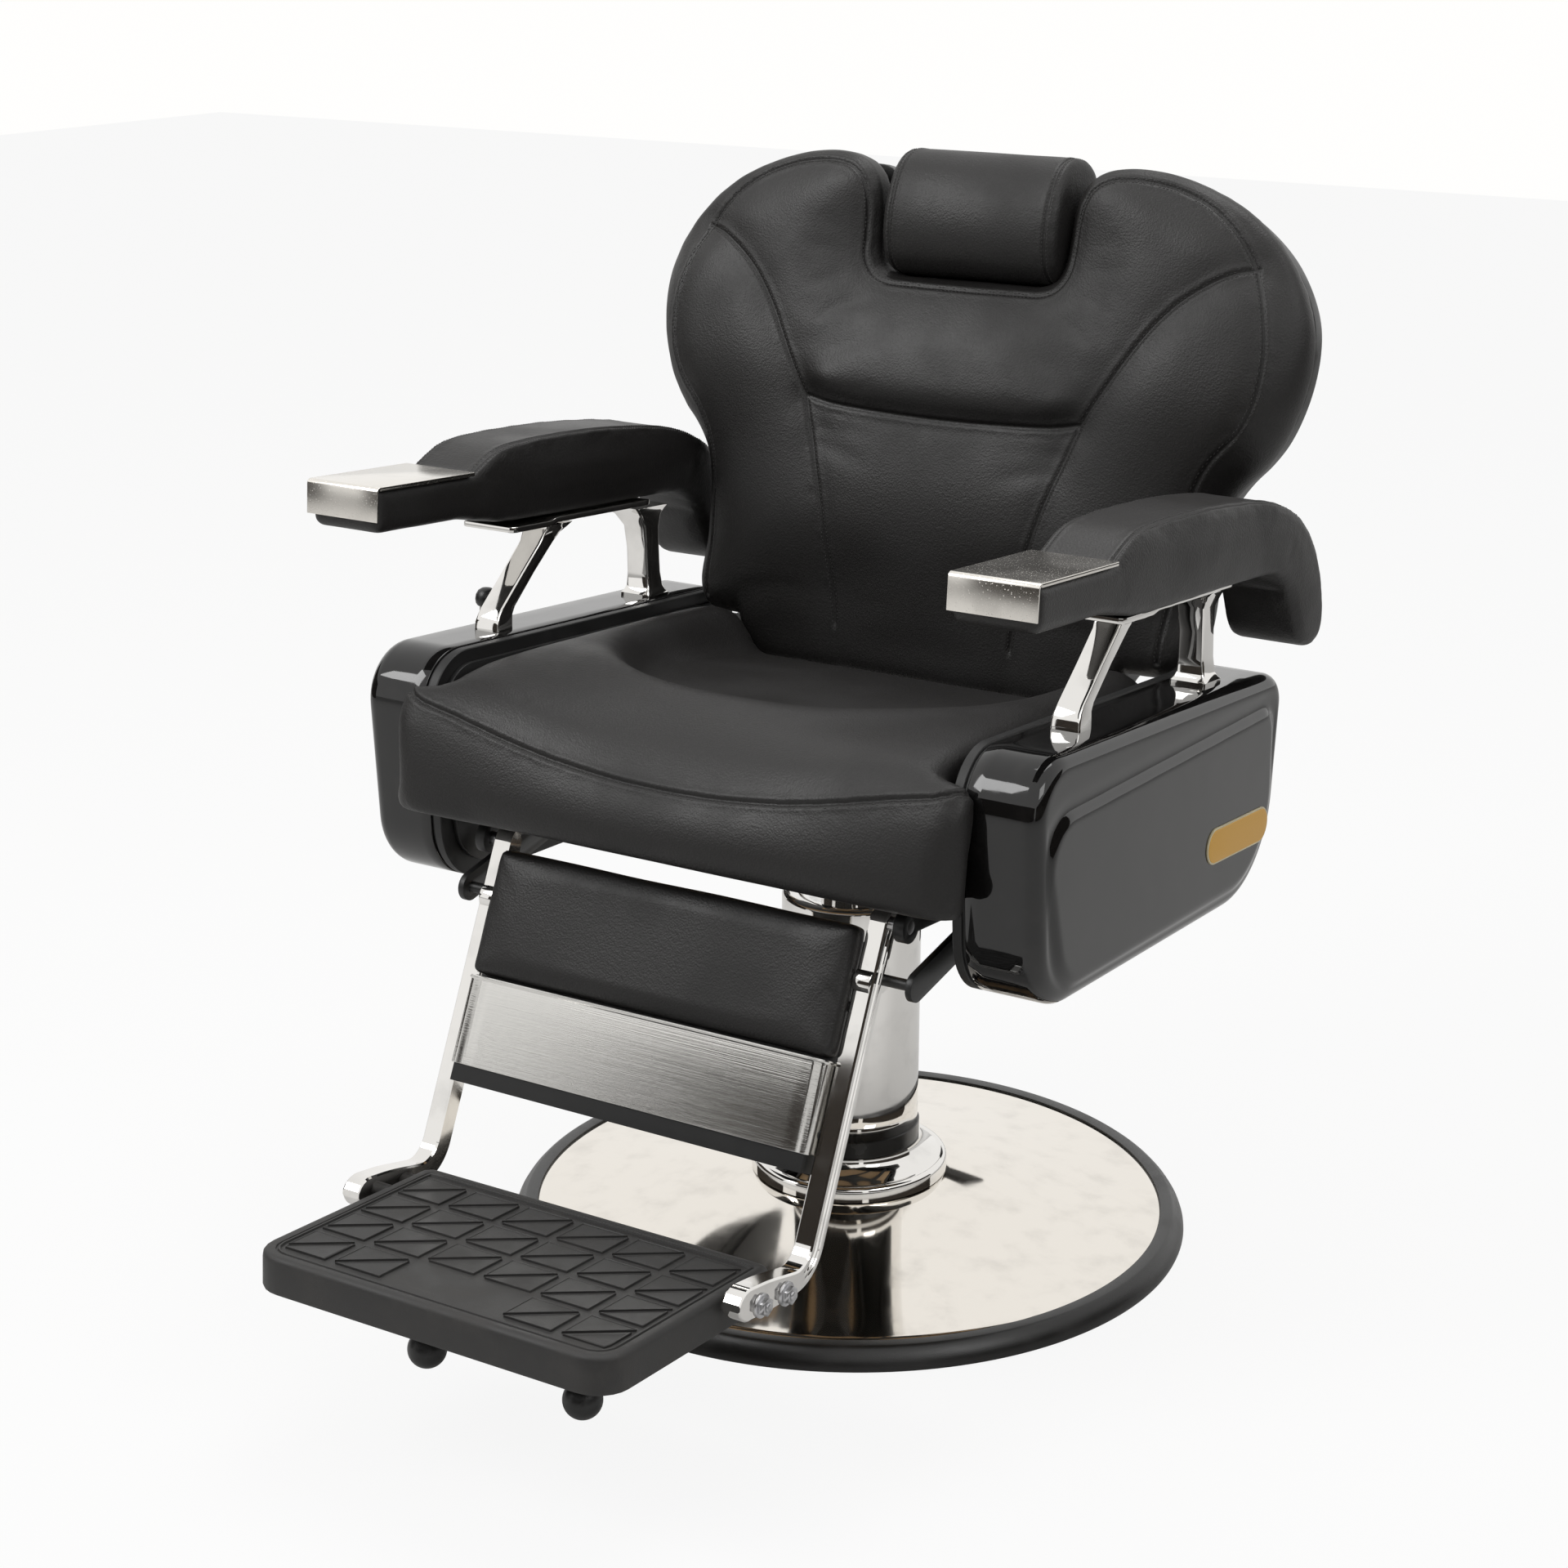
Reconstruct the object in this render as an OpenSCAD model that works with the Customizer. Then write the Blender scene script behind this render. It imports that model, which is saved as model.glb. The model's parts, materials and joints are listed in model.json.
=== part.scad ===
// Hydraulic barber chair: a spun base with a pump column, a swivelling seat
// unit that leans back a little, and a backrest linked to the footrest.
// Millimetres. Origin: centre of the base on the floor. The sitter faces -Y,
// +X is the sitter's left, +Z is up.

/* [Base] */
// Outer radius of the rubber ring on the floor
base_r = 330; // [260:1:380]
// Height of the rubber ring
ring_h = 20; // [14:1:26]
// Width of the rubber ring at the top
ring_w = 14; // [8:1:24]
// Height of the dish where it meets the collar
dish_h = 54; // [40:1:60]
// Wall of the spun dish
dish_wall = 2; // [1:0.5:4]

/* [Column] */
// Outer radius of the column shroud
shroud_r = 67; // [56:1:80]
// Top of the shroud above the floor
shroud_top = 340; // [260:5:350]
// Wall of the shroud
shroud_wall = 2.5; // [1.5:0.5:4]
// Outer radius of the collar at the foot of the column
collar_r = 96; // [86:1:120]
// Radius of the hydraulic ram
ram_r = 28; // [20:1:34]
// Stroke of the hydraulic ram
lift_stroke = 150; // [80:5:170]

/* [Seat] */
// Height of the swivel plate's top above the floor
seat_z = 410; // [405:1:470]
// Angle at which the seat unit leans back
seat_tilt = 4; // [0:0.5:6]
// Half width of the seat cushion between the side covers
seat_half_w = 258; // [240:1:258]
// Half width of the seat cushion's front in front of the covers
seat_front_half_w = 290; // [262:1:310]
// Front edge of the seat cushion ahead of the column axis
seat_front = 340; // [325:1:380]
// Rear edge of the seat cushion behind the column axis
seat_rear = 106; // [60:1:108]
// Top of the seat cushion's bolsters above the swivel plate
seat_top = 158; // [140:1:165]
// Depth of the dished middle of the seat
seat_dish = 16; // [0:1:24]

/* [Backrest] */
// Height of the backrest above its hinge line
back_h = 484; // [420:2:520]
// Half width of the backrest at its waist
back_waist = 268; // [240:1:270]
// Half width of the backrest at its widest
back_wide = 355; // [300:1:380]
// Angle of the backrest from the seat unit's own upright
back_lean = 4.5; // [0:0.5:12]
// Thickness of the backrest's foam
back_foam = 66; // [50:1:80]
// Depth of the hard rear shell
back_shell_d = 25; // [22:1:34]

/* [Headrest] */
// Half width of the headrest
head_half_w = 98; // [70:1:110]
// Height of the headrest
head_h = 112; // [90:1:130]
// How far the headrest stands ahead of the backrest
head_ahead = 34; // [10:1:50]
// Travel of the headrest on its posts
head_travel = 100; // [60:5:110]
// Radius of a headrest post
post_r = 6; // [5:0.5:8]

/* [Armrests] */
// Width of the arm pad
pad_w = 78; // [60:1:90]
// Height of the chrome cap's top above the swivel plate
pad_z = 323; // [300:1:340]
// Depth of the pad's front block
pad_block_h = 43; // [34:1:50]
// Width of an armrest leg across the chair
leg_w = 25; // [18:1:28]

/* [Side covers] */
// Depth of a side cover across the chair
cover_d = 66; // [50:1:80]
// Thickness of the matt plate behind the cover
cover_back_d = 12; // [8:1:14]
// Wall of the glossy cover
cover_wall = 3; // [2:0.5:4]
// Top of the side cover above the swivel plate
cover_top = 166; // [150:1:172]

/* [Footrest] */
// Half width of the footplate
foot_half_w = 182; // [150:1:186]
// Depth of the footplate from back to front
foot_d = 238; // [180:1:260]
// Thickness of the footplate
foot_t = 34; // [24:1:40]
// Width of a footrest arm across the chair
arm_w = 18; // [16:1:20]
// Depth of a footrest arm along the chair
arm_d = 20; // [18:1:28]
// Radius of a ball foot
ball_r = 17; // [12:1:22]
// Half width of the calf panel
calf_half_w = 184; // [150:1:186]
// Length of the calf panel down its slope
calf_len = 214; // [180:1:220]

/* [Linkage] */
// Backrest hinge behind the column axis
back_pivot_y = 165; // [150:1:175]
// Backrest hinge above the swivel plate
back_pivot_z = 130; // [124:1:134]
// Footrest hinge ahead of the column axis
foot_pivot_y = 281; // [270:1:290]
// Footrest hinge above the swivel plate
foot_pivot_z = 2; // [0:1:6]
// Forward offset of the crank pins from their hinges
crank_y = 7; // [4:1:12]
// Drop of the crank pins below their hinges
crank_z = 48; // [42:1:54]
// Half of the angle that the backrest reclines
half_recline = 17.5; // [12:0.5:20]
// Radius of the hinge pins
pin_r = 6; // [4:0.5:8]

/* [Hidden] */
$fn = 64;

fit_gap = 0.05;      // radial running clearance of pins, posts and the ram
seat_gap = 0.3;      // gap between pieces that lie against each other
open_pivot_gap = 0.6; // radial clearance of the link bars' rear eyes
epsilon = 0.01;

// Stations across the chair, from the middle outwards
rail_x = 214;
rail_t = 10;
link_x = 232;
link_t = 6;
back_arm_x = 244;
back_arm_t = 8;
side_plate_x = seat_half_w + 4;
side_plate_t = 5;
cover_back_x = side_plate_x + side_plate_t + seat_gap;
cover_x = cover_back_x + cover_back_d;
cover_face_x = cover_x + cover_d;
footrest_arm_x = calf_half_w + 4;
pad_x = 325;         // middle of the arm pads
leg_x = 304;         // middle of the armrest legs
strut_x = -150;

// Heights in the seat unit, above the swivel plate
rail_bottom = -4;
rail_top = 16;
board_t = 12;
cushion_bottom = rail_top + board_t;
pad_bottom = pad_z - pad_block_h - 12;

back_pivot = [back_pivot_y, back_pivot_z];
foot_pivot = [-foot_pivot_y, foot_pivot_z];
crank = [-crank_y, -crank_z];
back_crank = back_pivot + crank;
foot_crank = foot_pivot + crank;

// The backrest's own frame: the foam's front face is its plane y = 0
back_face_y = back_pivot_y - 54;
back_start = 24;     // lower edge of the backrest above its hinge
board_back = back_foam + board_t;
shell_y = board_back + seat_gap;
post_y = shell_y + back_shell_d / 2 - 3;
post_x = 50;
notch_half_w = head_half_w + 6;
notch_z = back_h - head_h - 4;
post_end = notch_z - head_travel - 28;

// The strut's lug swings evenly to both sides of straight down, so its pin dips
// by lug_dip half way, and the strut lies in the middle of that dip
lug_r = 134;
lug_pin = back_pivot + lug_r * [sin(half_recline), -cos(half_recline)];
lug_dip = lug_r * (1 - cos(half_recline));
strut_z = lug_pin[1] - lug_dip / 2;

// ---------- helpers ----------

// Children drawn in the seat unit's leaning frame
module seat_frame() {
    translate([0, 0, seat_z]) rotate([-seat_tilt, 0, 0]) children();
}

// Children drawn in the backrest's frame
module back_frame() {
    seat_frame() translate([0, back_face_y, back_pivot_z]) rotate([-back_lean, 0, 0]) children();
}

// A point of the seat unit's YZ plane, seen in the backrest's frame
function to_back(p) =
    let (dy = p[0] - back_face_y, dz = p[1] - back_pivot_z)
    [dy * cos(back_lean) - dz * sin(back_lean), dy * sin(back_lean) + dz * cos(back_lean)];

// A profile of the YZ plane, extruded from x = start over a width
module across(start, width) {
    translate([start, 0, 0]) rotate([90, 0, 90]) linear_extrude(width) children();
}

// A round bar along X
module cross_bar(start, width, at, r) {
    translate([start, at[0], at[1]]) rotate([0, 90, 0]) cylinder(r = r, h = width);
}

// Copies its children to the other side when side is -1
module on_side(side) {
    if (side > 0) children();
    else mirror([1, 0, 0]) children();
}

// A flat bar between two eyes in the YZ plane
module eye_bar(a, b, r) {
    hull() {
        translate(a) circle(r = r, $fn = 32);
        translate(b) circle(r = r, $fn = 32);
    }
}

// A tube with its foot at z = 0
module tube(r, wall, h) {
    difference() {
        cylinder(r = r, h = h);
        translate([0, 0, -1]) cylinder(r = r - wall, h = h + 2);
    }
}

// A closed soft form between two sheets of rows x cols points
module two_sheets(first, second, rows, cols) {
    count = rows * cols;
    cells = [for (i = [0:rows - 2]) for (j = [0:cols - 2]) i * cols + j];
    front = [for (k = cells) each [[k, k + 1, k + cols], [k + 1, k + cols + 1, k + cols]]];
    rear = [for (k = cells) each [
        [count + k, count + k + cols, count + k + 1],
        [count + k + 1, count + k + cols, count + k + cols + 1]]];
    rim = concat(
        [for (j = [0:cols - 2]) j],
        [for (i = [0:rows - 2]) i * cols + cols - 1],
        [for (j = [cols - 1:-1:1]) (rows - 1) * cols + j],
        [for (i = [rows - 1:-1:1]) i * cols]);
    turns = len(rim);
    edge = [for (k = [0:turns - 1])
        let (a = rim[k], b = rim[(k + 1) % turns])
        each [[a, count + a, b], [b, count + a, count + b]]];
    polyhedron(concat(first, second), concat(front, rear, edge), convexity = 6);
}

// Places from -1 to 1 that crowd towards both ends
function crowded(n) = [for (k = [0:n - 1]) sin(-90 + 180 * k / (n - 1))];

// 1 in the middle of a form, 0 at its rim
function swell(t, power) = sqrt(max(0, 1 - pow(abs(t), power)));

function smooth(t) = let (s = min(1, max(0, t))) s * s * (3 - 2 * s);

// ---------- base and pump ----------

plate_r = base_r - ring_w - 16;
plate_t = 6;
collar_h = 16;

module base_plate() {
    color("dimgray") cylinder(r = plate_r, h = plate_t, $fn = 96);
}

module base_disc() {
    edge_r = base_r - ring_w;
    color("gainsboro") rotate_extrude($fn = 96) polygon([
        [edge_r, ring_h - dish_wall], [edge_r, ring_h],
        [edge_r * 0.72, ring_h + (dish_h - ring_h) * 0.35],
        [edge_r * 0.46, ring_h + (dish_h - ring_h) * 0.72], [collar_r - 4, dish_h],
        [shroud_r - 12, dish_h], [shroud_r - 12, dish_h - dish_wall],
        [collar_r - 4, dish_h - dish_wall],
        [edge_r * 0.46, ring_h + (dish_h - ring_h) * 0.72 - dish_wall],
        [edge_r * 0.72, ring_h + (dish_h - ring_h) * 0.35 - dish_wall]]);
}

module base_ring() {
    top_r = base_r - ring_w;
    color("black") rotate_extrude($fn = 96) polygon([
        [plate_r + seat_gap, 0], [base_r, 0], [base_r, 3], [top_r + 1, ring_h + 2],
        [top_r + seat_gap, ring_h + 2], [top_r + seat_gap, ring_h - dish_wall - seat_gap],
        [plate_r + seat_gap, ring_h - dish_wall - seat_gap]]);
}

bolt_circle_r = 78;
bolt_r = 4;
flange_t = 9;
module base_bolts() {
    color("silver") for (turn = [45:90:315]) rotate([0, 0, turn]) translate([bolt_circle_r, 0, plate_t]) {
        cylinder(r = bolt_r, h = flange_t + 1);
        translate([0, 0, flange_t]) cylinder(r = bolt_r * 2, h = 7, $fn = 6);
    }
}

module collar_ring() {
    color("gainsboro") translate([0, 0, dish_h]) rotate_extrude() polygon([
        [shroud_r, 0], [collar_r, 0], [collar_r, collar_h - 2], [collar_r - 2, collar_h],
        [shroud_r, collar_h]]);
}

foot_top = dish_h + collar_h + 18;
band_h = 17;
module column_foot() {
    color("gainsboro") rotate_extrude() polygon([
        [shroud_r - 12, dish_h + collar_h], [collar_r - 8, dish_h + collar_h],
        [shroud_r + 3, foot_top], [shroud_r - 12, foot_top]]);
}

module column_band() {
    color("dimgray") translate([0, 0, foot_top]) tube(shroud_r + 1.5, 12, band_h);
}

module column_shroud() {
    color("gainsboro") difference() {
        union() {
            translate([0, 0, foot_top + band_h])
                tube(shroud_r, shroud_wall, shroud_top - foot_top - band_h);
            translate([0, 0, shroud_top - 3]) tube(shroud_r - 1, shroud_r - ram_r - 3, 3);
        }
        translate([-16, shroud_r - 12, lever_z - 18]) cube([32, 24, 36]);
    }
}

pump_r = ram_r + 14;
pump_top = 320;
module pump_cylinder() {
    color("gray") difference() {
        translate([0, 0, plate_t]) union() {
            cylinder(r = pump_r, h = pump_top - plate_t);
            cylinder(r = bolt_circle_r + 16, h = flange_t - seat_gap);
        }
        translate([0, 0, 24]) cylinder(r = ram_r + fit_gap, h = pump_top);
        for (turn = [45:90:315]) rotate([0, 0, turn]) translate([bolt_circle_r, 0, 0])
            cylinder(r = bolt_r + seat_gap, h = 40);
    }
}

lever_z = 236;
lever_y = 78;
module lever_bracket() {
    color("gainsboro") difference() {
        union() {
            for (side = [-14, 8]) translate([side, pump_r - 2, lever_z - 14])
                cube([6, lever_y - pump_r + 14, 28]);
        }
        translate([-20, lever_y, lever_z]) rotate([0, 90, 0]) cylinder(r = pin_r - 1, h = 40);
        cylinder(r = pump_r + epsilon, h = 400);
    }
}

module pump_lever() {
    color("gainsboro") {
        cross_bar(-13.9, 27.8, [lever_y, lever_z], pin_r - 1 - fit_gap);
        difference() {
            across(-6, 12) union() {
                eye_bar([lever_y, lever_z], [150, lever_z + 48], 10);
                eye_bar([150, lever_z + 48], [215, lever_z + 44], 8);
                eye_bar([215, lever_z + 44], [300, lever_z - 30], 8);
            }
            cross_bar(-7, 14, [lever_y, lever_z], pin_r - 1 - fit_gap);
        }
    }
}

module pump_pedal() {
    color("black") difference() {
        hull() {
            translate([-32, 300, lever_z - 36]) rotate([0, 90, 0]) cylinder(r = 12, h = 64, $fn = 32);
            translate([-28, 330, lever_z - 44]) rotate([0, 90, 0]) cylinder(r = 9, h = 56, $fn = 32);
        }
        across(-6.2, 12.4) eye_bar([215, lever_z + 44], [300, lever_z - 30], 8.2);
    }
}

// ---------- ram ----------

ram_top = seat_z - 34;
spigot_r = ram_r - 6;
ram_guide = 120;     // length of the ram that stays in the pump at full lift
ram_foot = pump_top - lift_stroke - ram_guide;
module ram() {
    color("gainsboro") {
        translate([0, 0, ram_foot]) cylinder(r = ram_r, h = ram_top - ram_foot);
        translate([0, 0, ram_top]) cylinder(r = spigot_r, h = 20);
    }
}

module thrust_washer() {
    color("gold") translate([0, 0, ram_top]) difference() {
        cylinder(r = ram_r + 4, h = 3);
        translate([0, 0, -1]) cylinder(r = spigot_r, h = 5);
    }
}

// ---------- seat unit: frame ----------

hub_r = 40;
plate_half = 95;
module swivel_plate() {
    color("dimgray") {
        difference() {
            translate([0, 0, ram_top + 3 + seat_gap]) cylinder(r = hub_r, h = 21);
            translate([0, 0, ram_top - 1]) cylinder(r = spigot_r + fit_gap, h = 21 + seat_gap + 1);
        }
        difference() {
            seat_frame() translate([-plate_half, -plate_half, -14])
                cube([plate_half * 2, plate_half + 80, 10 - seat_gap]);
            translate([0, 0, ram_top]) cylinder(r = hub_r - epsilon, h = 27 + seat_gap);
        }
    }
}

ear_r = 14;
module frame_rail(side) {
    color("dimgray") seat_frame() on_side(side) difference() {
        across(rail_x, rail_t) union() {
            translate([-foot_pivot_y, rail_bottom])
                square([foot_pivot_y + seat_rear - 5, rail_top - rail_bottom]);
            translate(foot_pivot) circle(r = ear_r);
        }
        cross_bar(rail_x - 1, rail_t + 2, foot_pivot, pin_r);
    }
}

cross_h = 18;
cross_w = 24;
module frame_cross(y, half) {
    color("dimgray") seat_frame() difference() {
        translate([-half, y, rail_bottom]) cube([half * 2, cross_w, cross_h]);
        for (side = [-1, 1]) translate([side * (rail_x + rail_t / 2) - rail_t / 2 - seat_gap, y - 1, -20])
            cube([rail_t + seat_gap * 2, cross_w + 2, 60]);
        translate([strut_x, y - 1, strut_z]) rotate([-90, 0, 0])
            cylinder(r = strut_r + seat_gap, h = cross_w + 2);
    }
}

module seat_board() {
    color("peru") seat_frame() translate([0, 0, rail_top])
        linear_extrude(board_t - seat_gap) polygon([
            [-rail_x, -262], [rail_x, -262], [rail_x, seat_rear - 6], [-rail_x, seat_rear - 6]]);
}

// Rear pivot slope of the link bars, which run in a channel under the cushion
link_slope = (back_crank[1] - foot_crank[1]) / (back_crank[0] - foot_crank[0]);
channel_x = rail_x + rail_t;
function channel_z(y) = max(cushion_bottom, link_slope * y + 76);

seat_len = seat_front + seat_rear;

// Height of the cushion's top along the chair at its middle
function seat_crest(y) = lookup(y + seat_front, [
    [0, 40], [8, 66], [20, 92], [34, 116], [50, 136], [74, seat_top - 6], [110, seat_top],
    [seat_len - 40, seat_top], [seat_len, seat_top - 30]]);

function seat_width(y) = lookup(y + seat_front, [
    [0, seat_front_half_w - 22], [12, seat_front_half_w - 4], [26, seat_front_half_w],
    [34, seat_half_w], [seat_len - 46, seat_half_w], [seat_len, seat_half_w - 8]]);

function dish(x, y) = seat_dish * smooth((190 - abs(x)) / 46) * smooth((y + 178) / 50);

module seat_cushion() {
    across_cols = [-1, -0.985, -0.95, -0.874, -0.862, -0.76, -0.66, -0.5, -0.25, 0,
        0.25, 0.5, 0.66, 0.76, 0.862, 0.874, 0.95, 0.985, 1];
    last_front = 220;
    first_rear = seat_len - 31;
    along_rows = [0, 8, 20, 27, 33.5, 50, 74, 110, 150, 172, 195, last_front,
        for (k = [1:4]) last_front + (first_rear - last_front) * k / 4, seat_len];
    cols = len(across_cols);
    rows = len(along_rows);
    top = [for (row = along_rows) for (u = across_cols)
        let (y = row - seat_front, x = u * seat_width(y), edge = swell(u, 14))
        [x, y, max(cushion_bottom + 12, seat_crest(y) - (1 - edge) * 34 - dish(x, y))]];
    under = [for (row = along_rows) for (u = across_cols)
        let (y = row - seat_front, x = u * seat_width(y))
        [x, y, abs(u) > 0.87 ? channel_z(y) : cushion_bottom]];
    color([0.14, 0.13, 0.13]) seat_frame() two_sheets(under, top, rows, cols);
}

// ---------- seat unit: sides ----------

cover_front = 303;
cover_rear = 193;
cover_low = 50;
module cover_outline(inset) {
    corner = 50 - inset;
    hull() {
        translate([-cover_front + 50, cover_top - 50]) circle(r = corner, $fn = 48);
        translate([-cover_front + 80, -cover_low + 62]) circle(r = 62 - inset, $fn = 48);
        translate([cover_rear - 75, -cover_low + 83]) circle(r = 75 - inset, $fn = 48);
        translate([cover_rear - 30, cover_top - 30]) circle(r = 30 - inset, $fn = 48);
    }
}

module side_plate(side) {
    color("dimgray") seat_frame() on_side(side) difference() {
        across(side_plate_x, side_plate_t) cover_outline(12);
        cross_bar(side_plate_x - 1, side_plate_t + 2, back_pivot, pin_r);
    }
}

module cover_back(side) {
    color([0.1, 0.1, 0.1]) seat_frame() on_side(side)
        across(cover_back_x, cover_back_d - seat_gap) cover_outline(0);
}

leg_t = 22;
front_leg_foot = -169;
front_leg_head = -112;
rear_leg_foot = 90;
rear_leg_head = 78;
rear_leg_t = 16;

module leg_holes() {
    for (leg = [[front_leg_foot, leg_t], [rear_leg_foot, rear_leg_t]])
        translate([leg_x - leg_w / 2 - seat_gap, leg[0] - leg[1] / 2 - seat_gap, cover_top - 20])
            cube([leg_w + seat_gap * 2, leg[1] + seat_gap * 2, 40]);
}

module cover(side) {
    color([0.05, 0.05, 0.05]) seat_frame() on_side(side) difference() {
        across(cover_x, cover_d) cover_outline(0);
        across(cover_x - 1, cover_d - cover_wall + 1) cover_outline(cover_wall);
        leg_holes();
        if (side < 0) cross_bar(cover_x, cover_d + 2, lever_at, pin_r);
    }
}

badge_y = 96;
badge_z = 27;
badge_r = 17;
module cover_badge() {
    color("goldenrod") seat_frame() across(cover_face_x, 2) hull() {
        for (end = [-50, 50]) translate([badge_y + end, badge_z]) circle(r = badge_r, $fn = 32);
    }
}

flange_h = 10;
flange_top = pad_bottom - seat_gap;
flange_plate = [[-20, -172, flange_top - 6], [61, 238, 6]]; // corner and size, from leg_x
module armrest_bracket(side) {
    foot_z = cover_top - 50;
    color("gainsboro") seat_frame() on_side(side) translate([leg_x - leg_w / 2, 0, 0]) {
        across(0, leg_w) union() {
            polygon([
                [front_leg_foot - leg_t / 2, foot_z], [front_leg_foot + leg_t / 2, foot_z],
                [front_leg_foot + leg_t / 2, cover_top + 4],
                [front_leg_head + leg_t / 2, flange_top - flange_h],
                [rear_leg_head - rear_leg_t / 2, flange_top - flange_h],
                [rear_leg_foot - rear_leg_t / 2, cover_top + 4],
                [rear_leg_foot - rear_leg_t / 2, foot_z], [rear_leg_foot + rear_leg_t / 2, foot_z],
                [rear_leg_foot + rear_leg_t / 2, cover_top + 4],
                [rear_leg_head + rear_leg_t / 2, flange_top - flange_h],
                [rear_leg_head + 34, flange_top - flange_h], [rear_leg_head + 34, flange_top],
                [front_leg_head - leg_t / 2, flange_top],
                [front_leg_foot - leg_t / 2, cover_top + 4]]);
        }
        translate([leg_w / 2, 0, 0]) translate(flange_plate[0]) cube(flange_plate[1]);
        for (leg = [[front_leg_foot, leg_t], [rear_leg_foot, rear_leg_t]])
            translate([cover_x - leg_x + leg_w / 2, leg[0] - leg[1] / 2, foot_z])
                cube([leg_x - leg_w / 2 - cover_x + epsilon, leg[1], 30]);
    }
}

pad_start = -361;
plate_end = -224;
pad_end = 245;
function pad_crest(y) = lookup(y, [
    [pad_start, pad_z - 2.5], [plate_end, pad_z - 2.5], [plate_end + 4, pad_z + 1],
    [-190, pad_z + 15], [-161, pad_z + 22], [-98, pad_z + 23], [-24, pad_z + 23], [35, pad_z + 20],
    [97, pad_z + 13], [151, pad_z], [179, pad_z - 14], [210, pad_z - 42], [233, pad_z - 76],
    [pad_end, pad_z - 96]]);

function pad_under(y) = lookup(y, [
    [pad_start, pad_z - pad_block_h], [-240, pad_z - pad_block_h], [-150, pad_bottom],
    [112, pad_bottom], [130, pad_bottom - 18], [165, pad_z - 131], [212, pad_z - 133],
    [236, pad_z - 112], [pad_end, pad_z - 100]]);

module arm_pad(side) {
    rows_at = [pad_start, -354, -300, plate_end, plate_end + 4, -208, -190, -161, -120, -98, -24, 35,
        97, 112, 130, 151, 165, 179, 196, 212, 224, 236, pad_end];
    cols_at = [-1, -0.9, -0.6, 0, 0.6, 0.9, 1];
    rows = len(rows_at);
    cols = len(cols_at);
    lid = function (y) y > plate_end ? 13 : 1;
    top = [for (y = rows_at) for (u = cols_at)
        [u * pad_w / 2, y, pad_crest(y) - lid(y) * (1 - swell(u, 6))]];
    under = [for (y = rows_at) for (u = cols_at)
        [u * pad_w / 2, y, pad_under(y) + 6 * (1 - swell(u, 6))]];
    color([0.13, 0.13, 0.13]) seat_frame() on_side(side) translate([pad_x, 0, 0])
        two_sheets(under, top, rows, cols);
}

cap_t = 2;
module arm_cap(side) {
    start = pad_x - pad_w / 2 - 1;
    color("white") seat_frame() on_side(side) across(start, pad_w + 2) polygon([
        [plate_end, pad_z], [pad_start - seat_gap - cap_t, pad_z],
        [pad_start - seat_gap - cap_t, pad_z - 31], [pad_start - seat_gap, pad_z - 31],
        [pad_start - seat_gap, pad_z - cap_t], [plate_end, pad_z - cap_t]]);
}

module back_pins() {
    color("silver") seat_frame() for (side = [-1, 1]) on_side(side) {
        cross_bar(back_arm_x - 2, side_plate_x + side_plate_t - back_arm_x + 2, back_pivot, pin_r);
    }
}

module foot_pins() {
    color("silver") seat_frame() for (side = [-1, 1]) on_side(side)
        cross_bar(footrest_arm_x + 1, rail_x + rail_t - footrest_arm_x - 1, foot_pivot, pin_r);
}

strut_r = 11;
strut_rod_r = 5;
strut_start = -80;
strut_end = 98;
module strut_cylinder() {
    color([0.15, 0.15, 0.15]) seat_frame() {
        difference() {
            translate([strut_x, strut_start, strut_z]) rotate([-90, 0, 0])
                cylinder(r = strut_r, h = strut_end - strut_start);
            translate([strut_x, strut_start + 20, strut_z]) rotate([-90, 0, 0])
                cylinder(r = strut_rod_r + fit_gap, h = strut_end - strut_start);
        }
    }
}

// ---------- recline lever ----------

lever_at = [-109, 104];
grip_r = 11;
grip_foot = cover_top + 9;
grip_h = 6;
module lever_pivot() {
    color("silver") seat_frame() on_side(-1)
        cross_bar(cover_face_x - cover_wall, cover_wall + 12, lever_at, pin_r - fit_gap);
}

module recline_lever() {
    color([0.08, 0.08, 0.08]) seat_frame() on_side(-1) difference() {
        union() {
            across(cover_face_x + 1, 9) eye_bar(lever_at, [lever_at[0], grip_foot], 9);
            across(cover_face_x + 0.5, 10) translate(lever_at) circle(r = 15);
            translate([cover_face_x + 6, lever_at[0], grip_foot]) cylinder(r = grip_r, h = grip_h);
            translate([cover_face_x + 6, lever_at[0], grip_foot + grip_h]) sphere(r = grip_r);
        }
        cross_bar(cover_face_x, 14, lever_at, pin_r);
    }
}

// ---------- backrest ----------

// Half width of the backrest at a share of its height
function back_width(v) = lookup(v, [
    [0, back_waist - 12], [0.06, back_waist], [0.34, back_waist + 2], [0.43, back_waist + 24],
    [0.53, back_wide - 28], [0.66, back_wide - 6], [0.76, back_wide], [0.86, back_wide - 12],
    [0.95, back_wide - 40], [1, back_wide - 56]]);

function back_drop(u) = 47 * pow(max(0, abs(u) - 0.5) / 0.5, 2);

function back_height(u, v) = back_start + v * (back_h - back_start - back_drop(u));

// A soft groove across the middle, under the shoulder panel
function back_groove(x, z) = 7 * exp(-pow((z - 237) / 12, 2)) * smooth((150 - abs(x)) / 20);

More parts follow.
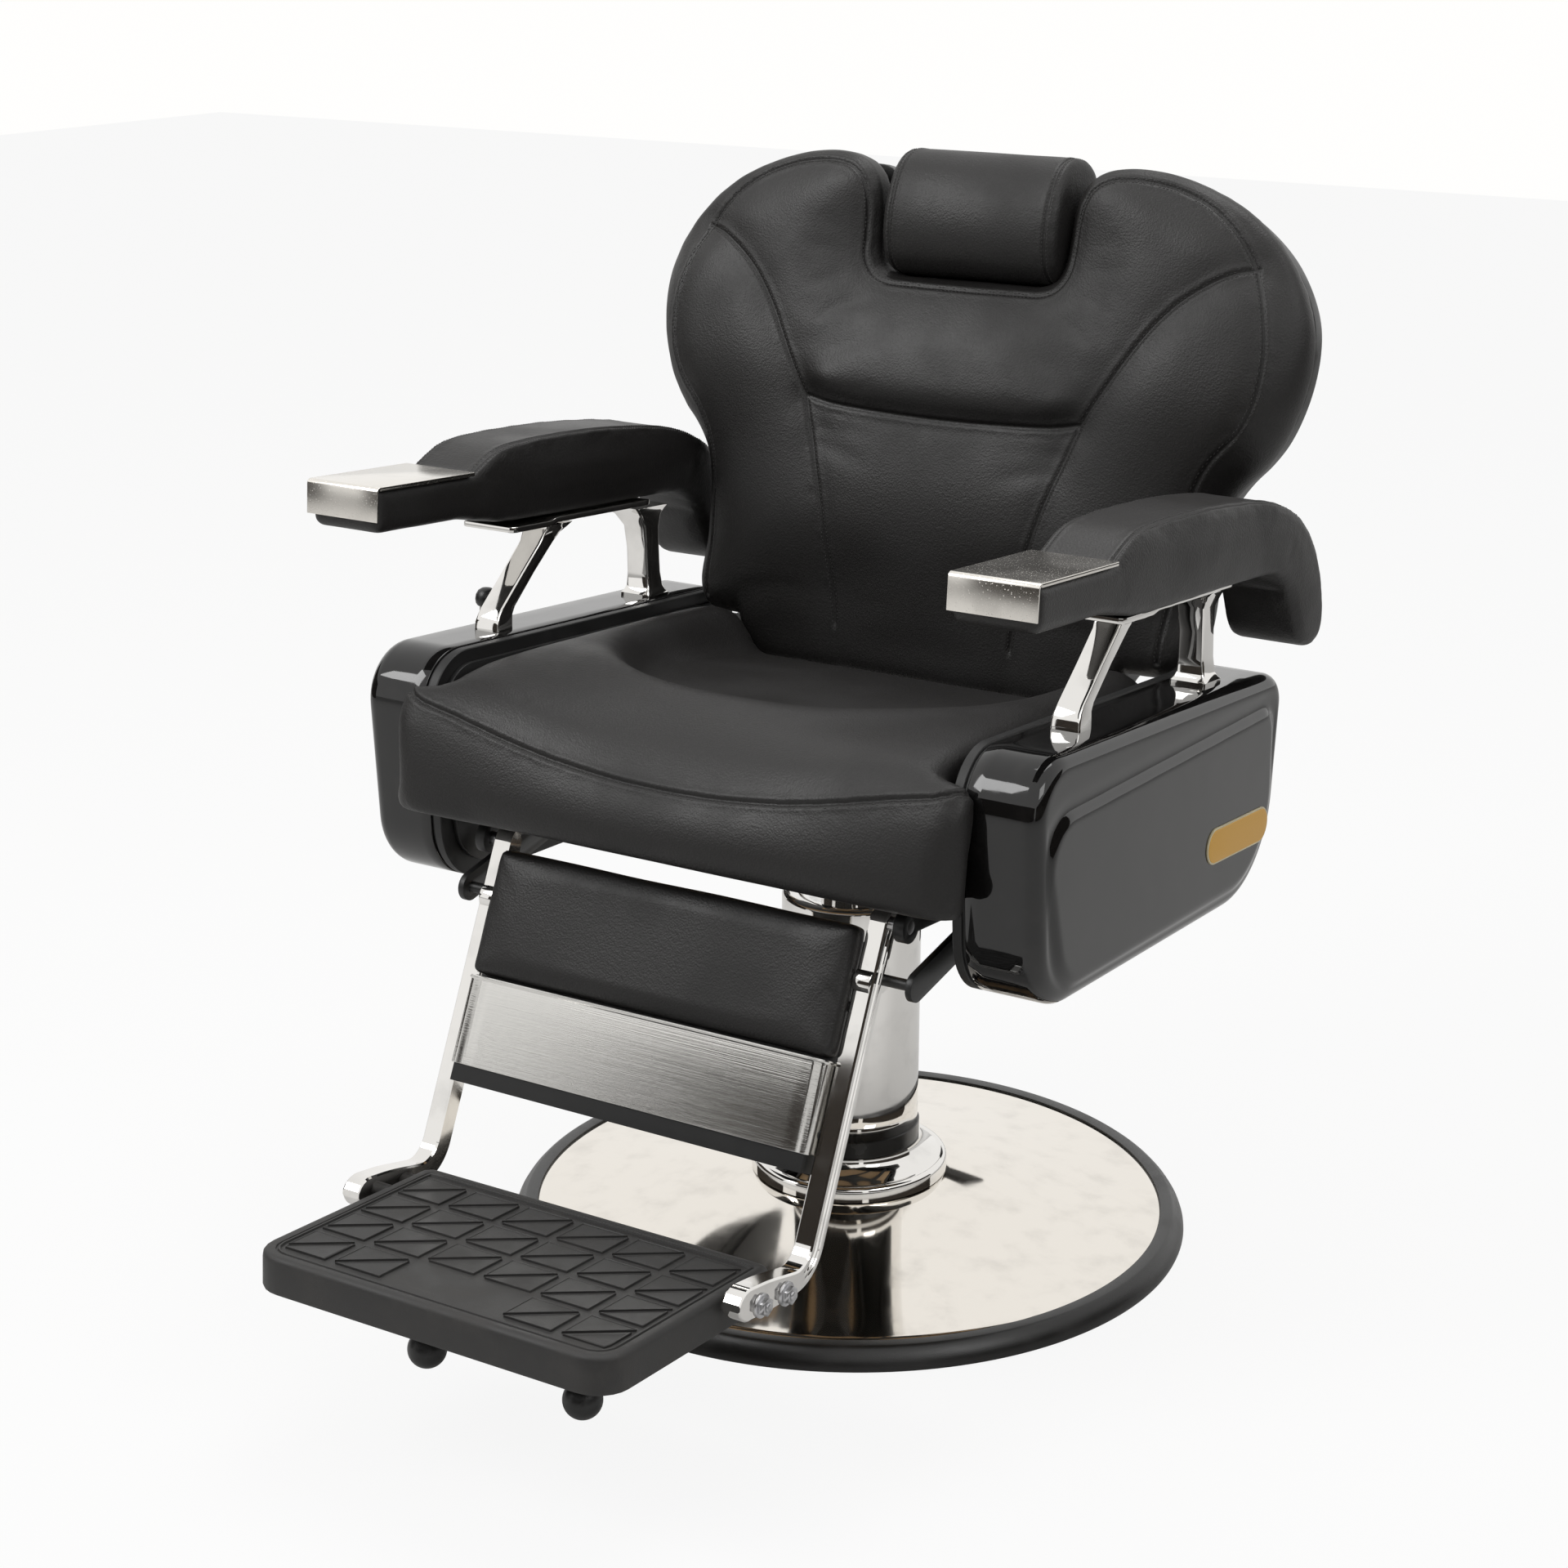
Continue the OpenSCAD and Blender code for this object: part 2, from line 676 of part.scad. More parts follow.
rounding = 30;
crown = 12;
module back_form(front_y, rear_y, margin, rounded) {
    places_u = crowded(19);
    places_v = [0, 0.02, 0.06, 0.13, 0.21, 0.3, 0.37, 0.42, 0.463, 0.51, 0.58, 0.66, 0.76, 0.86, 0.93,
        0.975, 1];
    rows = len(places_v);
    cols = len(places_u);
    function place(u, v) = [u * (back_width(v) - margin), back_height(u, v) - margin * (v - 0.5) * 2];
    front = [for (v = places_v) for (u = places_u)
        let (p = place(u, v), full = swell(u, 7) * swell(v * 2 - 1, 14))
        [p[0], front_y + rounded * (rounding - (rounding + crown) * full + back_groove(p[0], p[1])), p[1]]];
    rear = [for (v = places_v) for (u = places_u) let (p = place(u, v)) [p[0], rear_y, p[1]]];
    two_sheets(rear, front, rows, cols);
}

module notch(extra, front, rear) {
    half = notch_half_w + extra;
    translate([-half, front, notch_z - extra]) cube([half * 2, rear - front, 400]);
}

module back_cushion() {
    color([0.14, 0.13, 0.13]) back_frame() difference() {
        back_form(0, back_foam - seat_gap, 0, 1);
        notch(0, -60, 200);
    }
}

module back_outline(inset) {
    offset(delta = -inset) polygon([
        for (side = [1, -1]) for (k = [0:12])
            let (v = side > 0 ? k / 12 : 1 - k / 12)
            [side * back_width(v), back_height(1, v)],
        ]);
}

module back_board() {
    color("peru") back_frame() difference() {
        translate([0, board_back, 0]) rotate([90, 0, 0]) linear_extrude(board_t) back_outline(10);
        notch(0, -60, 200);
    }
}

module back_shell() {
    front = shell_y;
    color([0.1, 0.1, 0.1]) back_frame() difference() {
        translate([0, front + back_shell_d, 0]) rotate([90, 0, 0]) linear_extrude(back_shell_d)
            back_outline(2);
        difference() {
            translate([0, front + back_shell_d - 3, 0]) rotate([90, 0, 0])
                linear_extrude(back_shell_d) back_outline(5);
            notch(3, -60, 200);
        }
        notch(0, -60, 200);
        translate([-back_arm_x - 12, front - 1, back_start - 10])
            cube([(back_arm_x + 12) * 2, back_shell_d - 2, 20]);
        for (side = [-1, 1]) translate([side * post_x, post_y, notch_z - 10])
            cylinder(r = post_r + 1, h = 20);
    }
}

hinge_at = to_back(back_pivot);
crank_at = to_back(back_crank);
lug_at = to_back(lug_pin);
bar_half = 8;
bar_y = shell_y + bar_half;
cross_z = 64;
module back_arm(side) {
    color("dimgray") back_frame() on_side(side) difference() {
        union() {
            across(back_arm_x, back_arm_t) {
                eye_bar(hinge_at, [bar_y, 12], 9);
                translate(hinge_at) circle(r = 13);
                eye_bar(hinge_at, crank_at, 11);
                translate([bar_y - bar_half, 12]) square([bar_half * 2, 170]);
            }
            cross_bar(link_x - 2, back_arm_x - link_x + 2, crank_at, pin_r - 1);
        }
        cross_bar(back_arm_x - 3, back_arm_t + 6, hinge_at, pin_r + fit_gap);
    }
}

lug_t = 8;
module back_crossbar() {
    color("dimgray") back_frame() {
        difference() {
            translate([-back_arm_x, bar_y - bar_half, cross_z]) cube([back_arm_x * 2, bar_half * 2, 26]);
            across(strut_x - lug_t / 2 - epsilon, lug_t + epsilon * 2)
                translate([bar_y - 9, cross_z - 1]) square([18, 28]);
        }
        across(strut_x - lug_t / 2, lug_t) {
            eye_bar([bar_y, cross_z + 14], [bar_y, -20], bar_half);
            eye_bar([bar_y, -20], lug_at, bar_half);
        }
        cross_bar(strut_x - 14, 28, lug_at, strut_rod_r);
    }
}

module headrest_sockets() {
    color("dimgray") back_frame() for (side = [-1, 1]) difference() {
        translate([side * post_x, post_y, post_end - 20])
            cylinder(r = post_r + 3, h = notch_z - 5 - post_end + 20);
        translate([side * post_x, post_y, post_end - 21])
            cylinder(r = post_r + fit_gap, h = notch_z + 40 - post_end);
    }
}

// ---------- headrest ----------

module headrest_posts() {
    color("gainsboro") back_frame() for (side = [-1, 1])
        translate([side * post_x, post_y, post_end]) cylinder(r = post_r, h = notch_z + 24 - post_end);
}

module headrest_pad() {
    cols_at = crowded(13);
    rows_at = crowded(9);
    rear = shell_y + back_shell_d - 8;
    low = notch_z + 4;
    function place(u, v, shrink) = [u * (head_half_w - shrink), low + (v + 1) / 2 * head_h];
    front = [for (v = rows_at) for (u = cols_at)
        let (p = place(u, v, 0), full = swell(u, 6) * swell(v, 4))
        [p[0], 24 - (24 + head_ahead) * full, p[1]]];
    back = [for (v = rows_at) for (u = cols_at)
        let (p = place(u, v, 0), full = swell(u, 10) * swell(v, 8))
        [p[0], rear - 18 + 18 * full, p[1]]];
    color([0.12, 0.12, 0.12]) back_frame() difference() {
        two_sheets(back, front, len(rows_at), len(cols_at));
        for (side = [-1, 1]) translate([side * post_x, post_y, notch_z - 2])
            cylinder(r = post_r + fit_gap, h = 26);
    }
}

// ---------- footrest ----------

foot_bend = [-388, -280];
foot_end = [-484, -272];
foot_end_r = 15;
foot_top_z = -268;
foot_back_y = -410;
calf_lean = 21;
calf_top = [-292, 0];

module footrest_arm(side) {
    half = arm_d / 2;
    color("gainsboro") seat_frame() on_side(side) difference() {
        across(footrest_arm_x, arm_w) union() {
            translate(foot_pivot) circle(r = 14);
            hull() {
                translate(foot_pivot) circle(r = half, $fn = 32);
                translate(foot_bend) circle(r = half, $fn = 32);
            }
            hull() {
                translate(foot_bend) circle(r = half, $fn = 32);
                translate(foot_end) circle(r = foot_end_r, $fn = 32);
            }
            eye_bar(foot_crank, foot_crank + [-14, 0], 12);
        }
        cross_bar(footrest_arm_x - 1, arm_w + 2, foot_pivot, pin_r + fit_gap);
        cross_bar(footrest_arm_x + 6, arm_w, foot_crank, pin_r - 1);
    }
}

// The calf panel's own frame: z runs up its slope, y = 0 is its back
module calf_frame() {
    seat_frame() translate([0, calf_top[0], calf_top[1]]) rotate([-calf_lean, 0, 0]) children();
}

calf_board_t = 10;
calf_pad_t = 18;
strip_up = 16;       // black edge left under the strip
strip_ahead = 12;
strip_t = 2;
strip_h = 80;
module calf_board() {
    color([0.1, 0.1, 0.1]) calf_frame() {
        translate([-calf_half_w, 0, -calf_len]) cube([calf_half_w * 2, calf_board_t, calf_len - 14]);
        translate([-calf_half_w, -strip_ahead + strip_t, -calf_len])
            cube([calf_half_w * 2, strip_ahead, strip_up + strip_h]);
        for (side = [-1, 1]) on_side(side) for (drop = [70, 180])
            cross_bar(calf_half_w - 1, footrest_arm_x - calf_half_w + 1, [calf_board_t / 2, -drop], 4.5);
    }
}

module calf_pad() {
    cols_at = crowded(13);
    rows_at = crowded(9);
    low = -calf_len + strip_up + strip_h + 2;
    high = -2;
    function place(u, v) = [u * calf_half_w, (low + high) / 2 + v * (high - low) / 2];
    front = [for (v = rows_at) for (u = cols_at)
        let (p = place(u, v), full = swell(u, 10) * swell(v, 10))
        [p[0], -5 - (calf_pad_t - 5) * full, p[1]]];
    back = [for (v = rows_at) for (u = cols_at) let (p = place(u, v)) [p[0], -seat_gap, p[1]]];
    color([0.13, 0.13, 0.13]) calf_frame() two_sheets(back, front, len(rows_at), len(cols_at));
}

module calf_strip() {
    color("silver") calf_frame() translate([-calf_half_w, -strip_ahead, -calf_len + strip_up])
        cube([calf_half_w * 2, strip_t, strip_h]);
}

module footplate() {
    corner = 46;
    back_corner = 10;
    front_y = foot_back_y - foot_d;
    color([0.15, 0.15, 0.15]) seat_frame() difference() {
        translate([0, 0, foot_top_z - foot_t]) linear_extrude(foot_t) hull() {
            for (side = [-1, 1]) {
                translate([side * (foot_half_w - corner), front_y + corner]) circle(r = corner);
                translate([side * (foot_half_w - back_corner), foot_back_y - back_corner])
                    circle(r = back_corner, $fn = 32);
            }
        }
        translate([-foot_half_w + 14, front_y + 20, foot_top_z - foot_t - 1])
            cube([foot_half_w * 2 - 28, foot_d - 40, foot_t - 12]);
        for (side = [-1, 1]) translate([side * ball_x, ball_y, foot_top_z - 40])
            cylinder(r = rod_r, h = 34);
    }
    color([0.15, 0.15, 0.15]) seat_frame() for (side = [-1, 1]) on_side(side) for (at = bolt_places)
        cross_bar(foot_half_w - 1, footrest_arm_x - foot_half_w + 1, at, 9);
}

bolt_places = [[-466, -278], [-428, -281]];
module footplate_bolts() {
    outside = footrest_arm_x + arm_w;
    color("silver") seat_frame() for (side = [-1, 1]) on_side(side) for (at = bolt_places)
        translate([outside, at[0], at[1]]) rotate([0, 90, 0]) {
            cylinder(r = 11, h = 2);
            translate([0, 0, 2]) cylinder(r = 8.5, h = 7, $fn = 6);
        }
}

ball_x = 81;
ball_y = -536;
ball_z = -370;
rod_r = 5;
module foot_rods() {
    color("silver") seat_frame() for (side = [-1, 1])
        translate([side * ball_x, ball_y, ball_z + ball_r - 3])
            cylinder(r = rod_r, h = foot_top_z - 6 - ball_z - ball_r + 3);
}

module foot_balls() {
    color([0.05, 0.05, 0.05]) seat_frame() for (side = [-1, 1]) difference() {
        translate([side * ball_x, ball_y, ball_z]) sphere(r = ball_r);
        translate([side * ball_x, ball_y, ball_z + ball_r - 3]) cylinder(r = rod_r, h = 10);
    }
}

// ---------- linkage ----------

link_half = 13;
module link(side) {
    color([0.1, 0.1, 0.1]) seat_frame() on_side(side) {
        difference() {
            across(link_x, link_t) eye_bar(foot_crank, back_crank, link_half);
            cross_bar(link_x - 1, link_t + 2, back_crank, pin_r - 1 + open_pivot_gap);
        }
        cross_bar(footrest_arm_x + 6 + seat_gap, link_x - footrest_arm_x - 6, foot_crank, pin_r - 1 - fit_gap);
    }
}

fork_half = 12;
module strut_rod() {
    slot_half = strut_rod_r + 0.5;
    color("gainsboro") seat_frame() difference() {
        union() {
            translate([strut_x, lug_pin[0] - 122, strut_z]) rotate([-90, 0, 0])
                cylinder(r = strut_rod_r, h = 122 - 16);
            for (start = [-11, lug_t / 2 + 1]) translate([strut_x + start, lug_pin[0] - 18, strut_z - fork_half])
                cube([10 - lug_t / 2, 32, fork_half * 2]);
            translate([strut_x - 11, lug_pin[0] - 22, strut_z - 8]) cube([22, 6, 16]);
        }
        hull() {
            for (end = [-1, 1])
                cross_bar(strut_x - 20, 40, [lug_pin[0], strut_z + end * (lug_dip / 2 + 1)], slot_half);
        }
    }
}

base_plate();
base_disc();
base_ring();
base_bolts();
collar_ring();
column_foot();
column_band();
column_shroud();
pump_cylinder();
lever_bracket();
ram();
thrust_washer();
pump_lever();
pump_pedal();
swivel_plate();
frame_rail(1);  // frame_rail_left
frame_rail(-1);  // frame_rail_right
frame_cross(-90, rail_x + rail_t);  // frame_cross_front
frame_cross(30, side_plate_x);  // frame_cross_rear
seat_board();
seat_cushion();
side_plate(1);  // side_plate_left
side_plate(-1);  // side_plate_right
cover_back(1);  // cover_back_left
cover_back(-1);  // cover_back_right
cover(1);  // cover_left
cover(-1);  // cover_right
cover_badge();
armrest_bracket(1);  // armrest_bracket_left
armrest_bracket(-1);  // armrest_bracket_right
arm_pad(1);  // arm_pad_left
arm_pad(-1);  // arm_pad_right
arm_cap(1);  // arm_cap_left
arm_cap(-1);  // arm_cap_right
back_pins();
foot_pins();
strut_cylinder();
lever_pivot();
recline_lever();
back_arm(1);  // back_arm_left
back_arm(-1);  // back_arm_right
back_crossbar();
back_board();
back_shell();
back_cushion();
headrest_sockets();
headrest_posts();
headrest_pad();
footrest_arm(1);  // footrest_arm_left
footrest_arm(-1);  // footrest_arm_right
calf_board();
calf_pad();
calf_strip();
footplate();
footplate_bolts();
foot_rods();
foot_balls();
link(1);  // link_left
link(-1);  // link_right
strut_rod();
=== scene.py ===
"""A reclining hydraulic barber chair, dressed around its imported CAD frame.

Every length is in metres, in the frame's own axes: +Z is up, the sitter faces -Y,
and +X is the sitter's left. The seat unit leans back, so its pieces are laid out in
that unit's own upright frame and turned into place at the end.
"""

from __future__ import annotations

import json
import logging
import math
from collections.abc import Callable, Iterable, Sequence
from dataclasses import dataclass, replace
from enum import Enum

import bmesh
import bpy
from mathutils import Matrix, Vector, noise
from mathutils.bvhtree import BVHTree
from mathutils.kdtree import KDTree

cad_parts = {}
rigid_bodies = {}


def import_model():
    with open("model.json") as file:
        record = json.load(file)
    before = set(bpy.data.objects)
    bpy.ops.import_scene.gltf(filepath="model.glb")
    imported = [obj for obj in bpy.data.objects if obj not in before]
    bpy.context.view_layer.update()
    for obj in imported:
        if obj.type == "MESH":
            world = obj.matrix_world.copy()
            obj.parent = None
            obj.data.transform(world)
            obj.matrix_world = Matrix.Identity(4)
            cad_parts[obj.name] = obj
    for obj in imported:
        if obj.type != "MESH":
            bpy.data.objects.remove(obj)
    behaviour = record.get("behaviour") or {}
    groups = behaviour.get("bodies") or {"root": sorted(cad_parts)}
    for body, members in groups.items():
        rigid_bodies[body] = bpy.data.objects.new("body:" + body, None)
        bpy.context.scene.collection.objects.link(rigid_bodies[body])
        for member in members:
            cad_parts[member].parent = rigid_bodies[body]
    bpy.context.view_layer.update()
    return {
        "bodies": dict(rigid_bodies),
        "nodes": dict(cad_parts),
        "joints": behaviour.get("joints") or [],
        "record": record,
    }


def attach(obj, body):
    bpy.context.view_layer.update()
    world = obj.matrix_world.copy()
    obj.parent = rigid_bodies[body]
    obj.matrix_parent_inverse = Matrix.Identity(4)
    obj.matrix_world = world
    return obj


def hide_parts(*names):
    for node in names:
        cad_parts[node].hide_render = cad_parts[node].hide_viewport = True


LOG = logging.getLogger("barber_chair")
MM = 0.001
NEAR_ZERO = 1e-9

Piece = bpy.types.Object
Triple = tuple[float, float, float]
Profile = tuple[tuple[float, float], ...]


def lean(degrees: float) -> Matrix:
    """A turn about X that leans a frame backwards by some degrees."""
    return Matrix.Rotation(math.radians(-degrees), 4, "X")


SEAT = Matrix.Translation((0, 0, 0.410)) @ lean(4)
BACK = SEAT @ Matrix.Translation((0, 0.111, 0.130)) @ lean(4.5)
CALF = SEAT @ Matrix.Translation((0, -0.292, 0)) @ lean(21)
FLOOR = Matrix.Identity(4)


class Side(Enum):
    """The two sides of the chair, as the sitter has them."""

    LEFT = 1
    RIGHT = -1

    @property
    def word(self) -> str:
        """The side's name in a piece's name."""
        return self.name.lower()

    @property
    def mirror(self) -> Matrix:
        """What turns a left-hand piece into this side's piece."""
        return Matrix.Diagonal((self.value, 1, 1, 1))


# ---------- shaders ----------


class Value:
    """A node's output, with arithmetic that adds Math nodes."""

    def __init__(self, nodes: Nodes, socket: bpy.types.NodeSocket) -> None:
        """Wraps a socket of a node tree."""
        self.nodes = nodes
        self.socket = socket

    def _math(self, operation: str, *terms: Value | float) -> Value:
        """Adds a Math node over the terms."""
        inputs = dict(enumerate(terms))
        return self.nodes.node("ShaderNodeMath", {"operation": operation}, inputs)

    def __add__(self, other: Value | float) -> Value:
        """self + other."""
        return self._math("ADD", self, other)

    def __radd__(self, other: float) -> Value:
        """other + self."""
        return self._math("ADD", other, self)

    def __sub__(self, other: Value | float) -> Value:
        """self - other."""
        return self._math("SUBTRACT", self, other)

    def __rsub__(self, other: float) -> Value:
        """other - self."""
        return self._math("SUBTRACT", other, self)

    def __mul__(self, other: Value | float) -> Value:
        """self * other."""
        return self._math("MULTIPLY", self, other)

    def __rmul__(self, other: float) -> Value:
        """other * self."""
        return self._math("MULTIPLY", other, self)

    def between(self, low: float, high: float) -> Value:
        """A smooth step from 0 at low to 1 at high."""
        settings = {"interpolation_type": "SMOOTHSTEP"}
        inputs = {"Value": self, "From Min": low, "From Max": high}
        return self.nodes.node("ShaderNodeMapRange", settings, inputs)


Colour = Triple
Fed = Value | float | Colour


class Nodes:
    """A node tree, with the ways to add and feed its nodes."""

    def __init__(self, tree: bpy.types.NodeTree) -> None:
        """Wraps a tree."""
        self.tree = tree

    def node(self, kind: str, settings: dict[str, object], inputs: dict[int | str, Fed],
             output: int | str = 0) -> Value:
        """Adds a node.

        Args:
            kind: The node's type.
            settings: Attributes that are set first.
            inputs: Values or links, by the socket's name or number.
            output: The output that is wanted.

        Returns:
            The wrapped output.
        """
        made = self.tree.nodes.new(kind)
        for key, setting in settings.items():
            setattr(made, key, setting)
        for key, fed in inputs.items():
            self.feed(made.inputs[key], fed)
        return Value(self, made.outputs[output])

    def feed(self, socket: bpy.types.NodeSocket, fed: Fed) -> None:
        """Links a wrapped output to a socket, or sets the socket's own value."""
        if isinstance(fed, Value):
            self.tree.links.new(fed.socket, socket)
        elif isinstance(fed, tuple) and len(fed) == 3 and socket.type == "RGBA":
            socket.default_value = (*fed, 1.0)
        else:
            socket.default_value = fed

    def seen(self) -> Value:
        """1 for rays from the camera or from a reflecting or clear surface."""
        rays = [self.node("ShaderNodeLightPath", {}, {}, name)
                for name in ("Is Camera Ray", "Is Glossy Ray", "Is Transmission Ray")]
        total = rays[0] + rays[1] + rays[2]
        return self.node("ShaderNodeMath", {"operation": "MINIMUM"}, {0: total, 1: 1.0})


class Shader(Nodes):
    """One material's node tree."""

    def __init__(self, name: str) -> None:
        """Makes an empty node material with a Principled shader."""
        self.material = bpy.data.materials.new(name)
        self.material.use_nodes = True
        super().__init__(self.material.node_tree)
        self.surface = self.tree.nodes["Principled BSDF"]
        self.place = self.node("ShaderNodeTexCoord", {}, {}, "Object")

    def set(self, **inputs: Fed) -> None:
        """Feeds the Principled shader; an underscore in a name stands for a space."""
        for key, fed in inputs.items():
            self.feed(self.surface.inputs[key.replace("_", " ")], fed)

    def noise(self, scale: float, detail: float = 2.0, at: Value | None = None) -> Value:
        """Soft noise, with features about 1 / scale metres wide."""
        inputs = {"Vector": at or self.place, "Scale": scale, "Detail": detail}
        return self.node("ShaderNodeTexNoise", {}, inputs, "Fac")

    def cells(self, scale: float, feature: str, at: Value | None = None) -> Value:
        """Distances in a pattern of cells about 1 / scale metres wide."""
        inputs = {"Vector": at or self.place, "Scale": scale}
        return self.node("ShaderNodeTexVoronoi", {"feature": feature}, inputs, "Distance")

    def stretched(self, factors: Colour) -> Value:
        """The place, drawn out along some axes."""
        return self.node("ShaderNodeMapping", {}, {"Vector": self.place, "Scale": factors})

    def mix(self, share: Fed, first: Fed, second: Fed) -> Value:
        """A colour between two colours."""
        settings = {"data_type": "RGBA"}
        return self.node("ShaderNodeMix", settings, {0: share, 6: first, 7: second}, 2)

    def bump(self, height: Value, distance: float, strength: float = 1.0) -> Value:
        """A normal from a height between 0 and 1."""
        inputs = {"Height": height, "Distance": distance, "Strength": strength}
        return self.node("ShaderNodeBump", {}, inputs)


@dataclass(frozen=True)
class Finish:
    """What every finish has: a name, its slot in the record, and a material."""

    name: str
    slot: str

    def build(self) -> bpy.types.Material:
        """Makes the material."""
        shader = Shader(self.name)
        self.paint(shader)
        return shader.material

    def paint(self, shader: Shader) -> None:
        """Feeds the shader, each finish in its own way."""
        raise NotImplementedError


@dataclass(frozen=True)
class Leather(Finish):
    """Faux leather with a fine pebbled grain."""

    name: str = "faux_leather"
    slot: str = "leather_black"
    dark: Colour = (0.0080, 0.0075, 0.0074)
    light: Colour = (0.0152, 0.0141, 0.0135)
    pebble: float = 620.0
    roughness: float = 0.40

    def paint(self, shader: Shader) -> None:
        """Feeds the shader."""
        pebbles = shader.cells(self.pebble, "SMOOTH_F1")
        creases = shader.noise(260.0, 4.0)
        broad = shader.noise(9.0, 3.0)
        fine = shader.noise(2400.0, 2.0)
        height = pebbles * 0.62 + creases * 0.5 + fine * 0.12
        worn = broad.between(0.35, 0.75)
        tone = pebbles.between(0.1, 0.7) * 0.35 + worn * 0.4
        shader.set(
            Base_Color=shader.mix(tone, self.light, self.dark),
            Roughness=self.roughness + 0.16 * worn + 0.08 * creases,
            Normal=shader.bump(height, 0.0005, 0.75),
            Specular_IOR_Level=0.42,
        )


@dataclass(frozen=True)
class Thread(Finish):
    """Waxed sewing thread."""

    name: str = "sewing_thread"
    slot: str = "leather_black"
    colour: Colour = (0.020, 0.019, 0.019)

    def paint(self, shader: Shader) -> None:
        """Feeds the shader."""
        twist = shader.noise(3200.0, 2.0)
        shader.set(
            Base_Color=shader.mix(twist, self.colour, (0.045, 0.043, 0.042)),
            Roughness=0.45 + 0.2 * twist,
            Normal=shader.bump(twist, 0.0002, 0.6),
        )


@dataclass(frozen=True)
class Gloss(Finish):
    """A high gloss moulding with faint flow marks and a few hairlines."""

    name: str = "gloss_moulding"
    slot: str = "gloss_black"

    def paint(self, shader: Shader) -> None:
        """Feeds the shader."""
        flow = shader.noise(14.0, 2.0)
        haze = shader.noise(55.0, 5.0).between(0.48, 0.8)
        shader.set(
            Base_Color=shader.mix(haze, (0.0065, 0.0062, 0.0062), (0.014, 0.013, 0.0125)),
            Roughness=0.045 + 0.10 * haze,
            Normal=shader.bump(flow, 0.0011, 0.30),
            Coat_Weight=0.2,
            Coat_Roughness=0.03,
            Specular_IOR_Level=0.45,
        )


@dataclass(frozen=True)
class Matt(Finish):
    """A dark moulding or powder coat with a fine texture."""

    colour: Colour = (0.016, 0.016, 0.016)
    roughness: float = 0.52
    grain: float = 1500.0

    def paint(self, shader: Shader) -> None:
        """Feeds the shader."""
        texture = shader.noise(self.grain, 3.0)
        wear = shader.noise(22.0, 4.0).between(0.5, 0.8)
        lighter = tuple(channel * 1.8 for channel in self.colour)
        shader.set(
            Base_Color=shader.mix(wear, self.colour, lighter),
            Roughness=self.roughness + 0.14 * wear,
            Normal=shader.bump(texture, 0.0002, 0.4),
        )


@dataclass(frozen=True)
class Plated(Finish):
    """Polished plating: a mirror with smears, faint ripples and pin-point pits."""

    name: str = "chrome_plate"
    slot: str = "chrome"
    colour: Colour = (0.80, 0.785, 0.76)
    roughness: float = 0.045
    ripple: float = 0.0006
    pits: float = 0.0

    def paint(self, shader: Shader) -> None:
        """Feeds the shader."""
        smear = shader.noise(30.0, 4.0).between(0.45, 0.85)
        waves = shader.noise(16.0, 1.0)
        dull = tuple(channel * 0.86 for channel in self.colour)
        height = waves
        rough = self.roughness + 0.07 * smear
        if self.pits:
            spots = 1 - shader.cells(420.0, "F1").between(0.08, 0.2)
            height = waves - spots * self.pits
            rough = rough + 0.2 * spots
        shader.set(
            Base_Color=shader.mix(smear, self.colour, dull),
            Metallic=1.0,
            Roughness=rough,
            Normal=shader.bump(height, self.ripple, 0.35),
        )


@dataclass(frozen=True)
class Brushed(Finish):
    """Stainless sheet, brushed along X."""

    name: str = "brushed_stainless"
    slot: str = "brushed"

    def paint(self, shader: Shader) -> None:
        """Feeds the shader."""
        along = shader.stretched((6.0, 900.0, 900.0))
        lines = shader.noise(1.0, 4.0, along)
        broad = shader.noise(7.0, 3.0, shader.stretched((0.4, 2.4, 2.4)))
        shader.set(
            Base_Color=shader.mix(lines, (0.60, 0.59, 0.57), (0.74, 0.73, 0.70)),
            Metallic=1.0,
            Roughness=0.06 + 0.10 * lines + 0.10 * broad,
            Normal=shader.bump(lines * 0.5 + broad, 0.0008, 0.30),
        )


@dataclass(frozen=True)
class Rubber(Finish):
    """Moulded rubber, dusty on its flats."""

    slot: str = "rubber_black"
    colour: Colour = (0.022, 0.0212, 0.0205)
    dust: Colour = (0.058, 0.055, 0.052)
    roughness: float = 0.5
    dustiness: float = 1.0

    def paint(self, shader: Shader) -> None:
        """Feeds the shader."""
        cloud = shader.noise(24.0, 5.0).between(0.42, 0.78)
        scuffs = shader.noise(1.0, 4.0, shader.stretched((18.0, 160.0, 60.0))).between(0.55, 0.85)
        skin = shader.noise(1300.0, 3.0)
        share = (cloud * 0.7 + scuffs * 0.3) * self.dustiness
        shader.set(
            Base_Color=shader.mix(share, self.colour, self.dust),
            Roughness=self.roughness + 0.2 * cloud,
            Normal=shader.bump(skin + cloud * 0.4, 0.0003, 0.5),
        )


@dataclass(frozen=True)
class Bare(Finish):
    """Turned or plated working metal, with faint turning marks."""

    colour: Colour
    roughness: float = 0.28

    def paint(self, shader: Shader) -> None:
        """Feeds the shader."""
        grime = shader.noise(120.0, 4.0).between(0.45, 0.8)
        marks = shader.noise(1.0, 2.0, shader.stretched((1500.0, 60.0, 60.0)))
        dirty = tuple(channel * 0.45 for channel in self.colour)
        shader.set(
            Base_Color=shader.mix(grime, self.colour, dirty),
            Metallic=1.0,
            Roughness=self.roughness + 0.2 * grime,
            Normal=shader.bump(marks, 0.0002, 0.4),
        )


